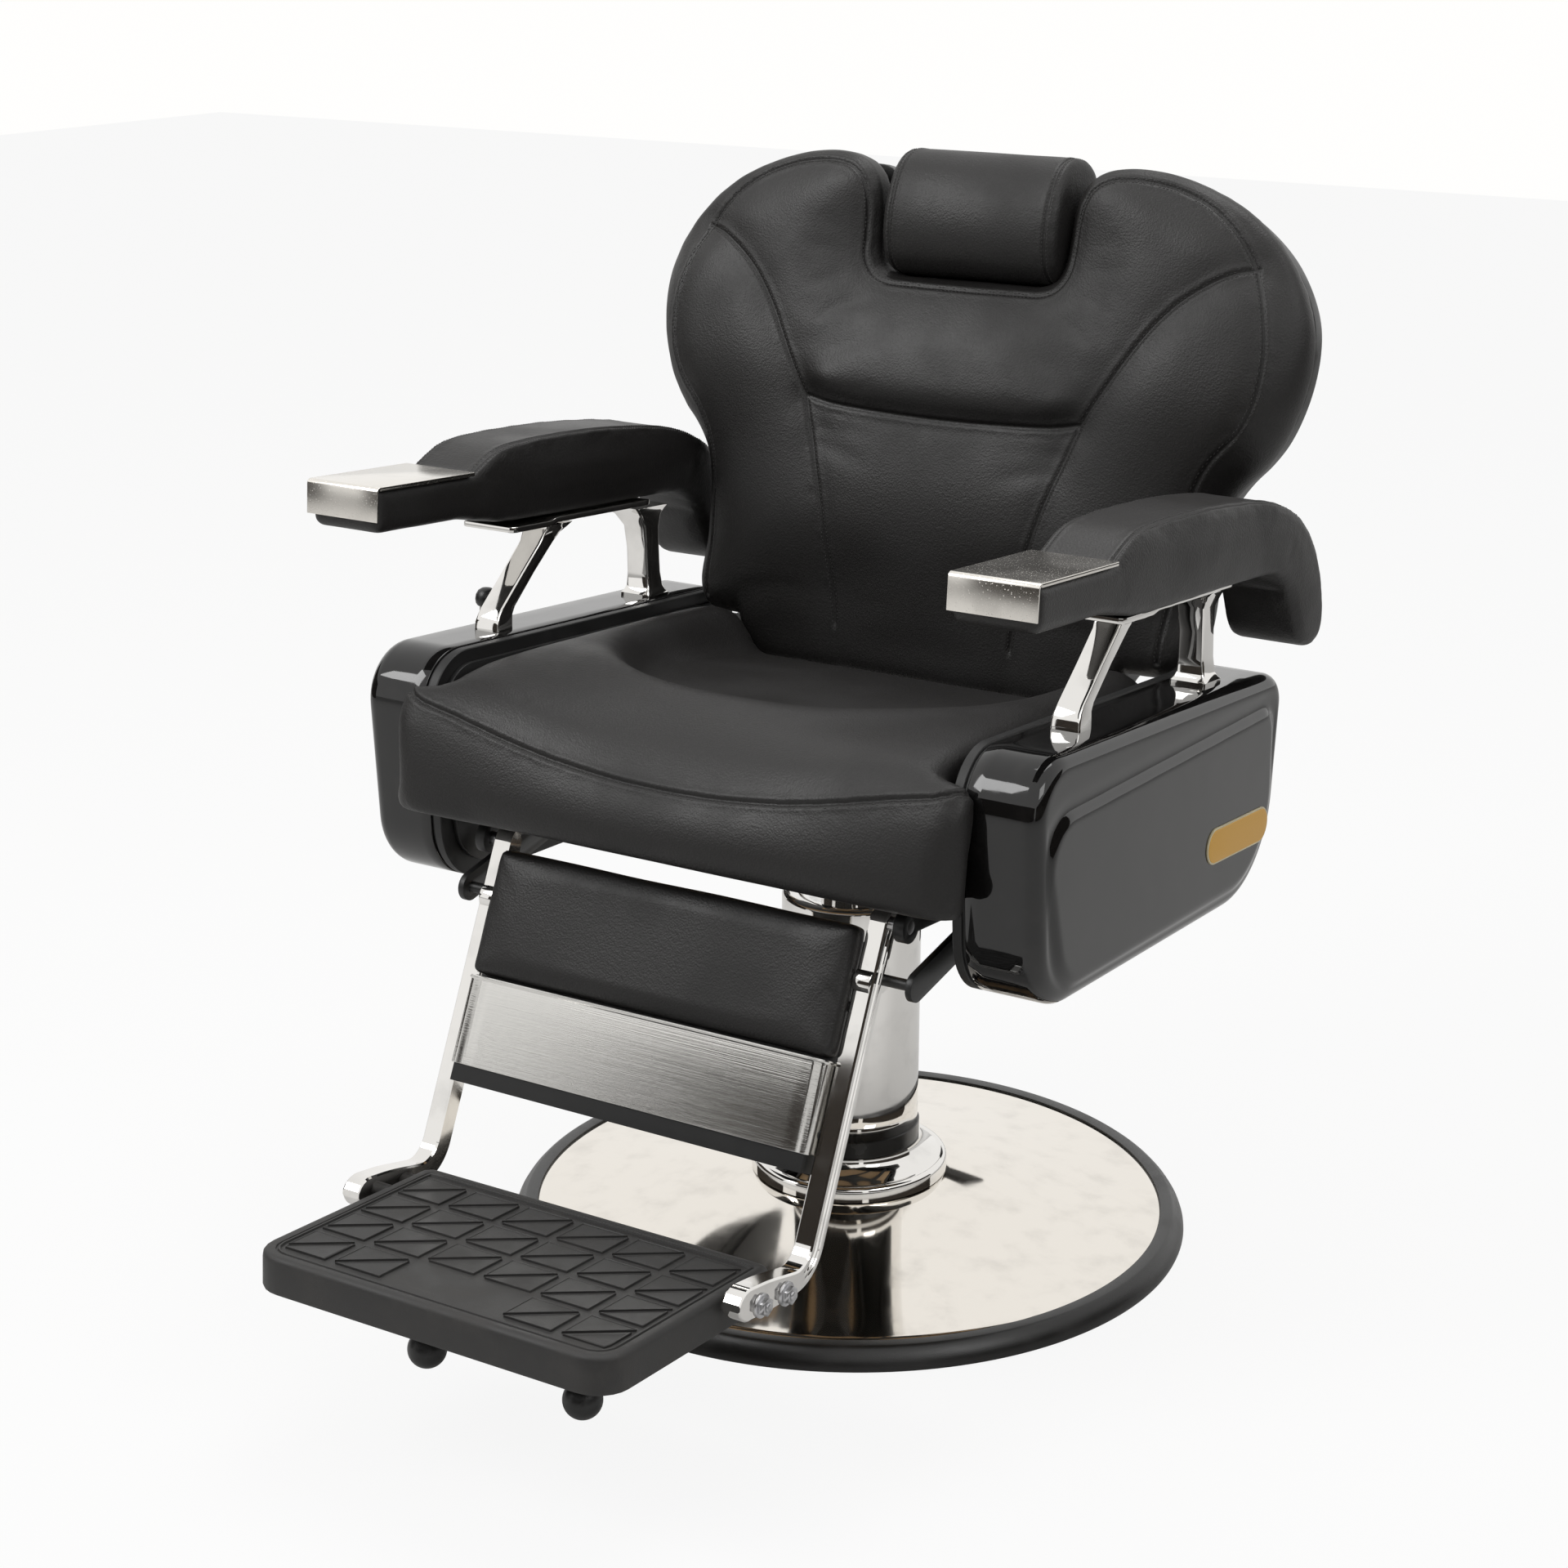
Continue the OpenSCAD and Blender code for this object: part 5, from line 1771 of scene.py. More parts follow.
@dataclass
class Armrests:
    """A chromed bracket, a curled pad and a chromed cap on each side."""

    pad_x: float = 0.325
    pad_half: float = 0.039
    cap_top: float = 0.323
    cap_front: float = -0.3633
    cap_rear: float = -0.224
    cap_drop: float = 0.031
    sheet: float = 0.002
    leg_x: float = 0.304
    flange_top: float = 0.2677
    upper: Profile = (
        (-0.2200, 0.3215), (-0.2050, 0.3300), (-0.1850, 0.3385), (-0.1610, 0.3430),
        (-0.1200, 0.3450), (-0.0700, 0.3455), (-0.0200, 0.3450), (0.0350, 0.3420),
        (0.0800, 0.3380), (0.1200, 0.3310), (0.1540, 0.3200), (0.1810, 0.3050),
        (0.2050, 0.2840), (0.2230, 0.2580), (0.2340, 0.2300), (0.2365, 0.2080),
        (0.2310, 0.1950), (0.2190, 0.1890), (0.2030, 0.1890), (0.1890, 0.1950),
        (0.1780, 0.2070), (0.1690, 0.2230), (0.1600, 0.2380), (0.1480, 0.2510),
        (0.1320, 0.2620), (0.1120, 0.2680), (0.0800, 0.2690))

    def build(self, shop: Workshop) -> None:
        """Builds and dresses both armrests; the right pad is the left one, mirrored."""
        pad, stitches = self._pad()
        for side in Side:
            place = SEAT @ side.mirror
            shop.make(self._bracket(), f"chrome_bracket_{side.word}", shop.finishes.chrome,
                      "seat", [f"armrest_bracket_{side.word}"], place, sharp=28.0)
            shop.make(self._cap(), f"chrome_arm_cap_{side.word}", shop.finishes.cast, "seat",
                      [f"arm_cap_{side.word}"], place)
            cover = self._copy(pad, f"arm_pad_cover_{side.word}", place)
            sewn = self._copy(stitches, f"arm_pad_stitches_{side.word}", place)
            shop.upholster(cover, sewn, FLOOR, "seat", f"arm_pad_{side.word}")
        for spent in (pad, stitches):
            bpy.data.objects.remove(spent)

    @staticmethod
    def _copy(source: Piece, name: str, place: Matrix) -> Piece:
        """A transformed copy of a piece, with its faces outwards."""
        form = Form()
        form.bm.from_mesh(source.data)
        return form.moved(place).object(name, sharp=180.0)

    def _outline(self) -> list[Vector]:
        """The pad's side outline, counter-clockwise in (y, z)."""
        curl = curve_through([Vector((y, z, 0)) for y, z in self.upper], 4 * MM)
        under = [Vector((-0.150, 0.2690, 0)), Vector((-0.175, 0.2705, 0)),
                 Vector((-0.240, 0.2800, 0)), Vector((-0.352, 0.2805, 0)),
                 Vector((-0.3585, 0.2840, 0)), Vector((-0.3605, 0.2900, 0)),
                 Vector((-0.3605, 0.3190, 0)), Vector((-0.3585, 0.3205, 0)),
                 Vector((-0.2260, 0.3205, 0))]
        return even_ring([*curl, *under], 4 * MM)[::-1]

    def _pad(self) -> tuple[Piece, Piece]:
        """The left pad and its stitches, in the seat unit's own frame."""
        sewing = Upholstery(voxel=4.2 * MM, cap=3 * MM, pressure=2.0)
        block = FoamBlock(self._outline(), self.pad_half * 2 - 0.6 * MM, 10 * MM, 9 * MM,
                          10 * MM, 9 * MM)
        piece = block.build(sewing, "arm_pad_form", 2)
        piece.data.transform(Matrix.Translation((self.pad_x - self.pad_half + 0.3 * MM, 0, 0))
                             @ to_yz())
        seams = []
        for way in (-1, 1):
            x = self.pad_x + way * (self.pad_half - 7 * MM)
            line = curve_through([Vector((x, y, z)) for y, z in self.upper[:15]], 2 * MM)
            seams.append(Seam(on_surface(piece, line), depth=1.5 * MM, reach=3.6 * MM,
                              rows=(-3.0 * MM, 3.0 * MM)))
        sewing.inflate(piece, self._held, seams)
        sewing.refine(piece)
        stitches = sewing.finish(piece, seams, lambda cover: laid_again(cover, seams),
                                 (0.5 * MM, 16.0), "arm_pad_thread")
        return piece, stitches

    def _held(self, spot: Vector) -> float:
        """How firmly the pad's cover is held: all of its front block and its underside."""
        if spot.y < self.cap_rear + 14 * MM or spot.z < 0.274 and spot.y < 0.13:
            return 1.0
        return 0.0

    def _cap(self) -> Form:
        """The bent chromed sheet on the pad's front, with a lip along each side."""
        top, front = self.cap_top, self.cap_front
        fold = 4.5 * MM
        outer = [(self.cap_rear, top), (front + fold, top)]
        outer += [(front + fold * b, top - fold * a) for a, b in quarter(8, 1)[:-1]]
        outer += [(front, top - fold), (front, top - self.cap_drop)]
        thick = self.sheet
        inner = [(front + thick, top - self.cap_drop), (front + thick, top - fold),
                 (front + fold, top - thick), (self.cap_rear, top - thick)]
        outline = [Vector((y, z, 0)) for y, z in [*outer, *inner]][::-1]
        half = self.pad_half + 1 * MM
        form = Form()
        form.prism(outline, self.pad_x - half, self.pad_x + half)
        for way in (-1, 1):
            a, b = sorted((self.pad_x + way * half, self.pad_x + way * (half - 0.9 * MM)))
            ahead, low, high = front + 5 * MM, top - 3.6 * MM, top - 0.4 * MM
            lip = [Vector((self.cap_rear, low, 0)), Vector((self.cap_rear, high, 0)),
                   Vector((ahead, high, 0)), Vector((ahead, low, 0))]
            form.prism(lip, a, b)
        form.welded()
        return form.bevel(0.55 * MM, 3, 50.0)

    def _bracket(self) -> Form:
        """The cast bracket: a leaning front leg, a waisted rear leg and a stepped flange."""
        x, top = self.leg_x, self.flange_top
        form = Form()
        front = [((x, -0.167, 0.120), 0.0125, 0.0110), ((x, -0.167, 0.1650), 0.0125, 0.0110),
                 ((x, -0.167, 0.1655), 0.0140, 0.0125), ((x, -0.167, 0.1740), 0.0138, 0.0122),
                 ((x, -0.1650, 0.1810), 0.0128, 0.0115), ((x, -0.1600, 0.1880), 0.0122, 0.0110),
                 ((x, -0.1300, 0.2170), 0.0120, 0.0108), ((x, -0.1020, 0.2430), 0.0124, 0.0115),
                 ((x, -0.0950, 0.2510), 0.0135, 0.0135), ((x, -0.0890, 0.2560), 0.0155, 0.0165),
                 ((x, -0.0860, 0.2600), 0.0170, 0.0200)]
        rear = [((x, 0.090, 0.120), 0.0125, 0.0080), ((x, 0.090, 0.1655), 0.0125, 0.0080),
                ((x, 0.084, 0.1660), 0.0175, 0.0190), ((x, 0.084, 0.1690), 0.0175, 0.0190),
                ((x, 0.0835, 0.1715), 0.0155, 0.0160), ((x, 0.0830, 0.1760), 0.0138, 0.0135),
                ((x, 0.0810, 0.1900), 0.0128, 0.0120), ((x, 0.0780, 0.2150), 0.0126, 0.0118),
                ((x, 0.0740, 0.2380), 0.0134, 0.0130),
                ((x + 0.002, 0.0700, 0.2500), 0.0170, 0.0175),
                ((x + 0.005, 0.0660, 0.2560), 0.0230, 0.0230),
                ((x + 0.008, 0.0640, 0.2600), 0.0280, 0.0280)]
        for leg in (front, rear):
            form.loft(post_rings([(Vector(m), a, b) for m, a, b in leg], 2.6 * MM))
        low = top - 5.5 * MM
        plan = [(x - 0.020, -0.166, 0.006), (x + 0.041, -0.166, 0.006), (x + 0.041, 0.062, 0.006),
                (x - 0.020, 0.062, 0.006)]
        outline = even_ring(rounded_outline(plan, 6), 4 * MM)

        def stepped(spot: Vector) -> Vector:
            """Sets the flange's front part a little lower, as a casting step."""
            return spot - Vector((0, 0, 2.6 * MM * (1 - smooth((spot.y + 0.108) / 0.014))))

        rings = edge_rings(outline, low, top, 1.2 * MM, 0.8 * MM, 3)
        form.loft([[stepped(p) for p in ring] for ring in rings])
        return form.welded()


# ---------- recline lever ----------


@dataclass
class ReclineLever:
    """The release lever on the right cover: a hub, a short bar and a round grip."""

    hub: tuple[float, float] = (-0.109, 0.104)
    hub_r: float = 0.015
    inner_x: float = 0.3518
    outer_x: float = 0.3618
    grip_x: float = 0.3573
    grip_foot: float = 0.173

    def build(self, shop: Workshop) -> None:
        """Builds and dresses the lever."""
        place = SEAT @ Side.RIGHT.mirror
        bar = Form()
        line = [Vector((0, self.hub[0], self.hub[1] + (self.grip_foot + 0.002 - self.hub[1])
                        * k / 20)) for k in range(21)]
        bar.loft(bar_rings(
            line, (self.inner_x + self.outer_x) / 2 + 0.4 * MM,
            lambda share: eased_box(0.0043, 0.0088 - 0.0022 * smooth(share), 2 * MM)))
        shop.make(bar.welded(), "recline_bar", shop.finishes.chrome, "recline_lever",
                  ["recline_lever"], place)
        y, z = self.hub
        turn = Matrix.Translation((0, y, z)) @ Matrix.Rotation(math.radians(90), 4, "Y")
        low, high, r = self.inner_x, self.outer_x, self.hub_r
        hub = Form().spin([(0, low), (r - 0.6 * MM, low), (r, low + 0.6 * MM),
                           (r, high - 2.2 * MM), (r - 1.0 * MM, high - 0.8 * MM),
                           (r - 3 * MM, high), (r - 8 * MM, high), (r - 8.6 * MM, high - 0.8 * MM),
                           (0, high - 0.8 * MM)], 72, closed=False)
        shop.make(hub.moved(turn), "recline_hub", shop.finishes.chrome, "recline_lever", [],
                  place)
        foot = self.grip_foot
        grip = Form().spin([(0, foot), (0.0062, foot), (0.0086, foot + 0.0012),
                            (0.0103, foot + 0.0035), (0.0110, foot + 0.0075),
                            (0.0104, foot + 0.0120), (0.0082, foot + 0.0160),
                            (0.0046, foot + 0.0183), (0, foot + 0.0190)], 64, closed=False)
        shop.make(grip.moved(Matrix.Translation((self.grip_x, y, 0))), "recline_grip",
                  shop.finishes.ball, "recline_lever", [], place)


# ---------- backrest and headrest ----------


@dataclass
class Backrest:
    """The shield-shaped padded back with its notch, hard shell and steel arms."""

    depth: float = 0.0657
    crown: float = 0.010
    shell_front: float = 0.0783
    shell_rear: float = 0.1033
    half: Profile = (
        (0.0, 0.024), (0.120, 0.024), (0.240, 0.024), (0.256, 0.029), (0.266, 0.044),
        (0.2730, 0.066), (0.2755, 0.100), (0.2765, 0.135), (0.2785, 0.160), (0.2840, 0.182),
        (0.2970, 0.203), (0.3145, 0.223), (0.3290, 0.245), (0.3400, 0.272), (0.3475, 0.303),
        (0.3500, 0.335), (0.3465, 0.364), (0.3355, 0.392), (0.3180, 0.419), (0.2960, 0.441),
        (0.2690, 0.460), (0.2380, 0.474), (0.2050, 0.484), (0.1740, 0.4885), (0.1490, 0.4880),
        (0.1280, 0.4820), (0.1130, 0.4690), (0.1050, 0.4480), (0.1025, 0.4200),
        (0.1010, 0.3980), (0.0955, 0.3820), (0.0830, 0.3740), (0.0640, 0.3725), (0.0, 0.3725))
    edge_seam: Profile = (
        (0.250, 0.040), (0.254, 0.100), (0.257, 0.160), (0.264, 0.197), (0.279, 0.228),
        (0.303, 0.258), (0.3160, 0.290), (0.3190, 0.325), (0.3140, 0.358), (0.3020, 0.392),
        (0.2800, 0.428), (0.2480, 0.4560), (0.2100, 0.4720), (0.1740, 0.4780), (0.1500, 0.4775),
        (0.1330, 0.4720), (0.1215, 0.4600), (0.1150, 0.4400), (0.1128, 0.4100),
        (0.1110, 0.3890), (0.1010, 0.3730), (0.0840, 0.3655), (0.0560, 0.3645), (0.0, 0.3640))
    shoulder_seam: Profile = (
        (0.2970, 0.4060), (0.2780, 0.4010), (0.2560, 0.3890), (0.2330, 0.3720), (0.2130, 0.3510),
        (0.1970, 0.3290), (0.1830, 0.3060), (0.1660, 0.2770), (0.1500, 0.2500))
    cross_seam: Profile = (
        (0.150, 0.2500), (0.120, 0.2445), (0.070, 0.2415), (0.0, 0.2400))
    panel_seam: Profile = (
        (0.150, 0.2500), (0.1410, 0.222), (0.1310, 0.192), (0.1210, 0.160), (0.1120, 0.125),
        (0.1040, 0.085), (0.0990, 0.050), (0.0970, 0.030))
    rolls: tuple[Triple, ...] = (
        (0.0, 0.010, 0.0050), (0.022, 0.017, -0.0060), (-0.024, 0.024, 0.0060))
    taper: float = 0.020
    skirt: float = 0.040

    def build(self, shop: Workshop) -> None:
        """Builds and dresses the whole back."""
        sewing = Upholstery(voxel=6 * MM, cap=12 * MM, pressure=3.6)
        block = FoamBlock(self._outline(6 * MM), self.depth, 0.058, 0.050, 0.012, 0.010,
                          self._tightness)
        piece = placed(block.build(sewing, "back_cushion_cover", 4), to_xz())
        self._shape(piece)
        seams = self._seams(piece)
        sewing.inflate(piece, lambda spot: 1.0 if spot.y > 0.050 or spot.z < 0.03 else 0.0,
                       seams)
        sewing.refine(piece)
        stitches = sewing.finish(piece, self._seams(piece), self._seams, (0.9 * MM, 8.0),
                                 "back_stitches")
        shop.upholster(piece, stitches, BACK, "backrest", "back_cushion")
        self._shell(shop)
        for node in ("back_arm_left", "back_arm_right", "back_crossbar"):
            shop.softened(node, shop.finishes.coat)
        shop.softened("headrest_sockets", shop.finishes.steel, 0.4 * MM)
        shop.softened("back_board", shop.finishes.stained)

    def _outline(self, step: float, inset: float = 0.0) -> list[Vector]:
        """The back's outline, counter-clockwise in (x, z)."""
        right = curve_through([Vector((x, z, 0)) for x, z in self.half], 3 * MM)
        left = [Vector((-p.x, p.y, 0)) for p in reversed(right)]
        closed = even([*right, *left[1:]], step)[:-1]
        return inset_outline(closed, inset) if inset else closed

    @staticmethod
    def _tightness(spot: Vector) -> float:
        """How wide the rim is rounded at a place: tight in the notch and at the foot."""
        if spot.y > 0.355 and abs(spot.x) < 0.24:
            return 0.52 + 0.48 * smooth((abs(spot.x) - 0.112) / 0.12)
        return 0.40 + 0.60 * smooth((spot.y - 0.030) / 0.07)

    def _shape(self, piece: Piece) -> None:
        """Crowns the face and presses its panels in and out."""
        rim = line_tree([Vector((p.x, 0, p.y)) for p in self._outline(4 * MM)])
        shoulders = line_tree(self._both(self.shoulder_seam))
        panels = line_tree(self._both(self.panel_seam))
        for vert in piece.data.vertices:
            x, z = vert.co.x, vert.co.z
            facing = smooth((0.052 - vert.co.y) / 0.05)
            if z < 0.060:
                low = smooth((0.060 - z) / 0.036) * smooth((0.212 - abs(x)) / 0.012)
                vert.co.z -= self.skirt * low
                vert.co.y *= 1 - 0.42 * low
            if facing <= 0:
                continue
            flat = Vector((x, 0, z))
            full = smooth(rim.find(flat)[2] / 0.12)
            push = -self.crown * full
            level = 0.2400 + 0.0100 * (x / 0.150) ** 2
            above, middle = z - level, smooth((0.158 - abs(x)) / 0.035)
            for at, width, amount in self.rolls:
                push += middle * amount * bell(above - at, width)
            push += self.taper * smooth((z - 0.26) / 0.17)
            push -= 0.0060 * bell(z - 0.135, 0.065) * smooth((0.26 - abs(x)) / 0.1)
            push += 0.0050 * bell(shoulders.find(flat)[2], 0.020)
            push += 0.0022 * bell(panels.find(flat)[2], 0.014)
            vert.co.y += push * facing

    @staticmethod
    def _both(line: Sequence[tuple[float, float]]) -> list[Vector]:
        """A line of the face and its mirror image, as close points."""
        dense = curve_through([Vector((x, 0, z)) for x, z in line], 3 * MM)
        return [*dense, *[Vector((-p.x, 0, p.z)) for p in dense]]

    def _seams(self, piece: Piece) -> list[Seam]:
        """All seams, laid on the face as it now is."""
        seams = []
        whole, cross = ([*half, *[(-x, z) for x, z in reversed(half[:-1])]]
                        for half in (self.edge_seam, self.cross_seam))
        double = (-3.1 * MM, 3.1 * MM)
        plan = [(whole, 1.9 * MM, double), (cross, 2.6 * MM, ())]
        for way in (1, -1):
            for line, depth in ((self.shoulder_seam, 2.2 * MM), (self.panel_seam, 1.9 * MM)):
                plan.append(([(way * x, z) for x, z in line], depth, double))
        for line, depth, rows in plan:
            dense = curve_through([Vector((x, -0.2, z)) for x, z in line], 2 * MM)
            seams.append(Seam(cast_on(piece, dense, Vector((0, 1, 0))), depth=depth,
                              reach=4.4 * MM, rows=rows))
        return seams

    def _shell(self, shop: Workshop) -> None:
        """The moulded shell behind the board, with a raised service panel and screws."""
        whole = self._outline(6 * MM)
        drawn = inset_outline(whole, 9 * MM)
        outline = [p.lerp(q, smooth((abs(p.x) - 0.11) / 0.04)) for p, q in zip(whole, drawn)]
        form = Form().loft(edge_rings(outline, self.shell_front, self.shell_rear,
                                      0.8 * MM, 0.013, 8))
        shop.make(form.moved(to_xz()).welded(), "back_shell_moulding", shop.finishes.shell,
                  "backrest", ["back_shell"], BACK, sharp=40.0)
        corners = [(-0.170, 0.075, 0.022), (0.170, 0.075, 0.022), (0.205, 0.290, 0.022),
                   (-0.205, 0.290, 0.022)]
        panel = even_ring(rounded_outline(corners, 10), 6 * MM)
        raised = Form().loft(edge_rings(panel, self.shell_rear - 1 * MM,
                                        self.shell_rear + 2.2 * MM, 0.1 * MM, 1.8 * MM, 5))
        shop.make(raised.moved(to_xz()).welded(), "back_service_panel", shop.finishes.shell,
                  "backrest", [], BACK)
        screws = Form()
        for u, v in ((-0.156, 0.093), (0.156, 0.093), (0.186, 0.271), (-0.186, 0.271)):
            place = Matrix.Translation((u, self.shell_rear + 2.2 * MM, v)) @ Matrix.Rotation(
                math.radians(-90), 4, "X")
            screws.loft([[place @ p for p in ring] for ring in self._screw_rings()])
        shop.make(screws.welded(), "back_panel_screws", shop.finishes.steel, "backrest", [],
                  BACK)

    @staticmethod
    def _screw_rings() -> list[list[Vector]]:
        """Rings of a domed screw head with a round socket."""
        stations = [(4.6 * MM, -0.6 * MM), (4.6 * MM, 0.2 * MM), (4.2 * MM, 1.1 * MM),
                    (3.2 * MM, 1.7 * MM), (1.9 * MM, 1.9 * MM), (1.7 * MM, 0.6 * MM)]
        return [[Vector((r * math.cos(math.tau * k / 20), r * math.sin(math.tau * k / 20), z))
                 for k in range(20)] for r, z in stations]


@dataclass
class Headrest:
    """The small padded block in the notch, on two posts."""

    half_w: float = 0.095
    aside: float = 0.005
    end_seam: float = 0.0835
    profile: Profile = (
        (0.0960, 0.3765), (0.0840, 0.3735), (0.0640, 0.3730), (0.0460, 0.3738),
        (0.0290, 0.3780), (0.0150, 0.3890), (0.0080, 0.4060), (0.0060, 0.4260),
        (0.0090, 0.4480), (0.0160, 0.4690), (0.0270, 0.4850), (0.0430, 0.4940),
        (0.0640, 0.4955), (0.0830, 0.4905), (0.0965, 0.4760), (0.1020, 0.4520),
        (0.1028, 0.4220), (0.1015, 0.3950))

    def build(self, shop: Workshop) -> None:
        """Builds, inflates, sews and dresses the block, and plates its posts."""
        knots = [Vector((y, z, 0)) for y, z in self.profile]
        closed = even(curve_through([*knots, knots[0]], 3 * MM), 4 * MM)[:-1]
        sewing = Upholstery(voxel=4.5 * MM, cap=5 * MM, pressure=3.0)
        block = FoamBlock(closed[::-1], self.half_w * 2, 0.013, 0.012, 0.013, 0.012)
        piece = block.build(sewing, "headrest_cover", 3)
        placed(piece, Matrix.Translation((self.aside - self.half_w, 0, 0)) @ to_yz())
        seams = self._seams(piece)
        sewing.inflate(piece, lambda spot: 1.0 if spot.y > 0.080 else 0.0, seams)
        sewing.refine(piece)
        stitches = sewing.finish(piece, seams, self._seams, (0.5 * MM, 16.0),
                                 "headrest_stitches")
        shop.upholster(piece, stitches, BACK, "headrest", "headrest_pad")
        shop.softened("headrest_posts", shop.finishes.chrome, 0.5 * MM)

    def _seams(self, piece: Piece) -> list[Seam]:
        """The double seam round each end."""
        seams = []
        for way in (-1, 1):
            line = curve_through([Vector((self.aside + way * self.end_seam, y, z))
                                  for y, z in self.profile[1:15]], 2 * MM)
            seams.append(Seam(on_surface(piece, line), depth=1.6 * MM, reach=3.8 * MM,
                              rows=(-2.8 * MM, 2.8 * MM)))
        return seams


# ---------- footrest ----------


@dataclass
class Footrest:
    """The two ridged arms, the calf panel and the treaded footplate."""

    arm_inner: float = 0.188
    arm_w: float = 0.018
    arm_line: Profile = (
        (-0.2765, 0.0138), (-0.388, -0.280), (-0.4985, -0.2708))
    bend_r: float = 0.034
    half_d: float = 0.010
    groove: float = 0.0017
    foot_widening: float = 0.0042
    crank: tuple[float, float] = (-0.288, -0.046)
    calf_half: float = 0.1872
    calf_low: float = -0.116
    calf_high: float = -0.002
    strip_low: float = -0.198
    strip_high: float = -0.118

    def build(self, shop: Workshop) -> None:
        """Builds and dresses the whole footrest."""
        for side in Side:
            shop.make(self._arm(), f"ridged_arm_{side.word}", shop.finishes.chrome, "footrest",
                      [f"footrest_arm_{side.word}"], SEAT @ side.mirror, sharp=26.0)
        self._calf_pad(shop)
        shop.make(self._strip(), "brushed_calf_strip", shop.finishes.brushed, "footrest",
                  ["calf_strip"], CALF, sharp=40.0)
        shop.softened("calf_board", shop.finishes.plate, 2.2 * MM, 3)
        Footplate().build(shop)

    def _arm(self) -> Form:
        """One arm, with two grooves down its outer face that fade at both ends."""
        half_x = self.arm_w / 2

        def section(share: float) -> list[tuple[float, float]]:
            """The arm's section, with two grooves in its outer face."""
            wide = self.half_d + self.foot_widening * smooth((share - 0.76) / 0.16)
            end = min(share * 30, (1 - share) * 26, 1.0)
            wide *= math.sqrt(max(0.05, 1 - (1 - end) ** 2))
            deep = self.groove * smooth((share - 0.035) / 0.05) * smooth((0.775 - share) / 0.06)
            ease = 1.6 * MM
            points = [(-half_x, -wide + ease), (-half_x + ease, -wide), (half_x - ease, -wide),
                      (half_x, -wide + ease)]
            for k in range(17):
                t = -1 + k / 8
                ridge = 0.5 - 0.5 * math.cos(math.tau * 1.5 * (t + 1))
                cut = (1 - ridge) if 1 < k < 15 else 0.0
                points.append((half_x - deep * max(0.0, cut - 0.35) / 0.65,
                               t * (wide - ease * 1.2)))
            points += [(half_x, wide - ease), (half_x - ease, wide), (-half_x + ease, wide),
                       (-half_x, wide - ease)]
            return points

        line = bent(self.arm_line, self.bend_r, 3 * MM)
        middle = self.arm_inner + half_x
        form = Form().loft(bar_rings(line, middle, section))
        y, z = self.crank
        boss = hull_of([(y - 0.014, z, 0.0118), (y, z, 0.0118)], 2 * MM)
        rings = edge_rings(boss, self.arm_inner + 0.2 * MM, self.arm_inner + self.arm_w - 1.5 * MM,
                           0.6 * MM, 0.8 * MM, 3)
        turn = to_yz()
        form.loft([[turn @ p for p in ring] for ring in rings])
        return form.welded()

    def _calf_pad(self, shop: Workshop) -> None:
        """The leather pad over the calf board."""
        sewing = Upholstery(voxel=4.2 * MM, cap=2.5 * MM, pressure=1.2)
        x, low, high = self.calf_half, self.calf_low, self.calf_high
        plan = [(-x, low, 0.004), (x, low, 0.004), (x, high, 0.006), (-x, high, 0.006)]
        outline = even_ring(rounded_outline(plan, 5), 5 * MM)
        block = FoamBlock(outline, 0.0237, 0.011, 0.009, 0.003, 0.003)
        piece = placed(block.build(sewing, "calf_pad_cover", 2),
                       Matrix.Translation((0, -0.0172, 0)) @ to_xz())
        sewing.inflate(piece, lambda spot: 1.0 if spot.y > -0.005 else 0.0)
        sewing.refine(piece)
        sewing.crumple(piece, 0.7 * MM, 12.0)
        piece.data.transform(CALF)
        shop.dress(piece, shop.finishes.leather, "footrest", ["calf_pad"])

    def _strip(self) -> Form:
        """The brushed sheet, folded back along its top and at both ends."""
        plan = [(-self.calf_half, 0.008), (-self.calf_half, -0.0075)]
        plan += [(-self.calf_half + 4.5 * MM * (1 - math.cos(math.pi / 2 * k / 6)),
                  -0.0075 - 4.5 * MM * math.sin(math.pi / 2 * k / 6)) for k in range(1, 7)]
        plan += [(-self.calf_half + 0.012, -0.0112), (-self.calf_half + 0.022, -0.0119)]
        folded = [*plan, *[(-x, y) for x, y in reversed(plan)]]
        folded = [(p.x, p.y) for p in even([Vector((x, y, 0)) for x, y in folded], 3 * MM)]
        thick = 1.1 * MM
        stations = [(self.strip_low, 0.0), (self.strip_low + 0.6 * MM, 0.2 * MM),
                    (self.strip_high - 3.6 * MM, 0.2 * MM), (self.strip_high - 2.6 * MM, 1.1 * MM),
                    (self.strip_high - 1.2 * MM, 1.4 * MM), (self.strip_high, 0.6 * MM)]
        rings = []
        for z, out in stations:
            front = [Vector((x * (1 + out / self.calf_half), y - out, z)) for x, y in folded]
            back = [Vector((x * (1 - thick / self.calf_half), y + (thick if y < -0.006 else 0), z))
                    for x, y in reversed(folded)]
            rings.append([*front, *back])
        return Form().loft(rings).welded()


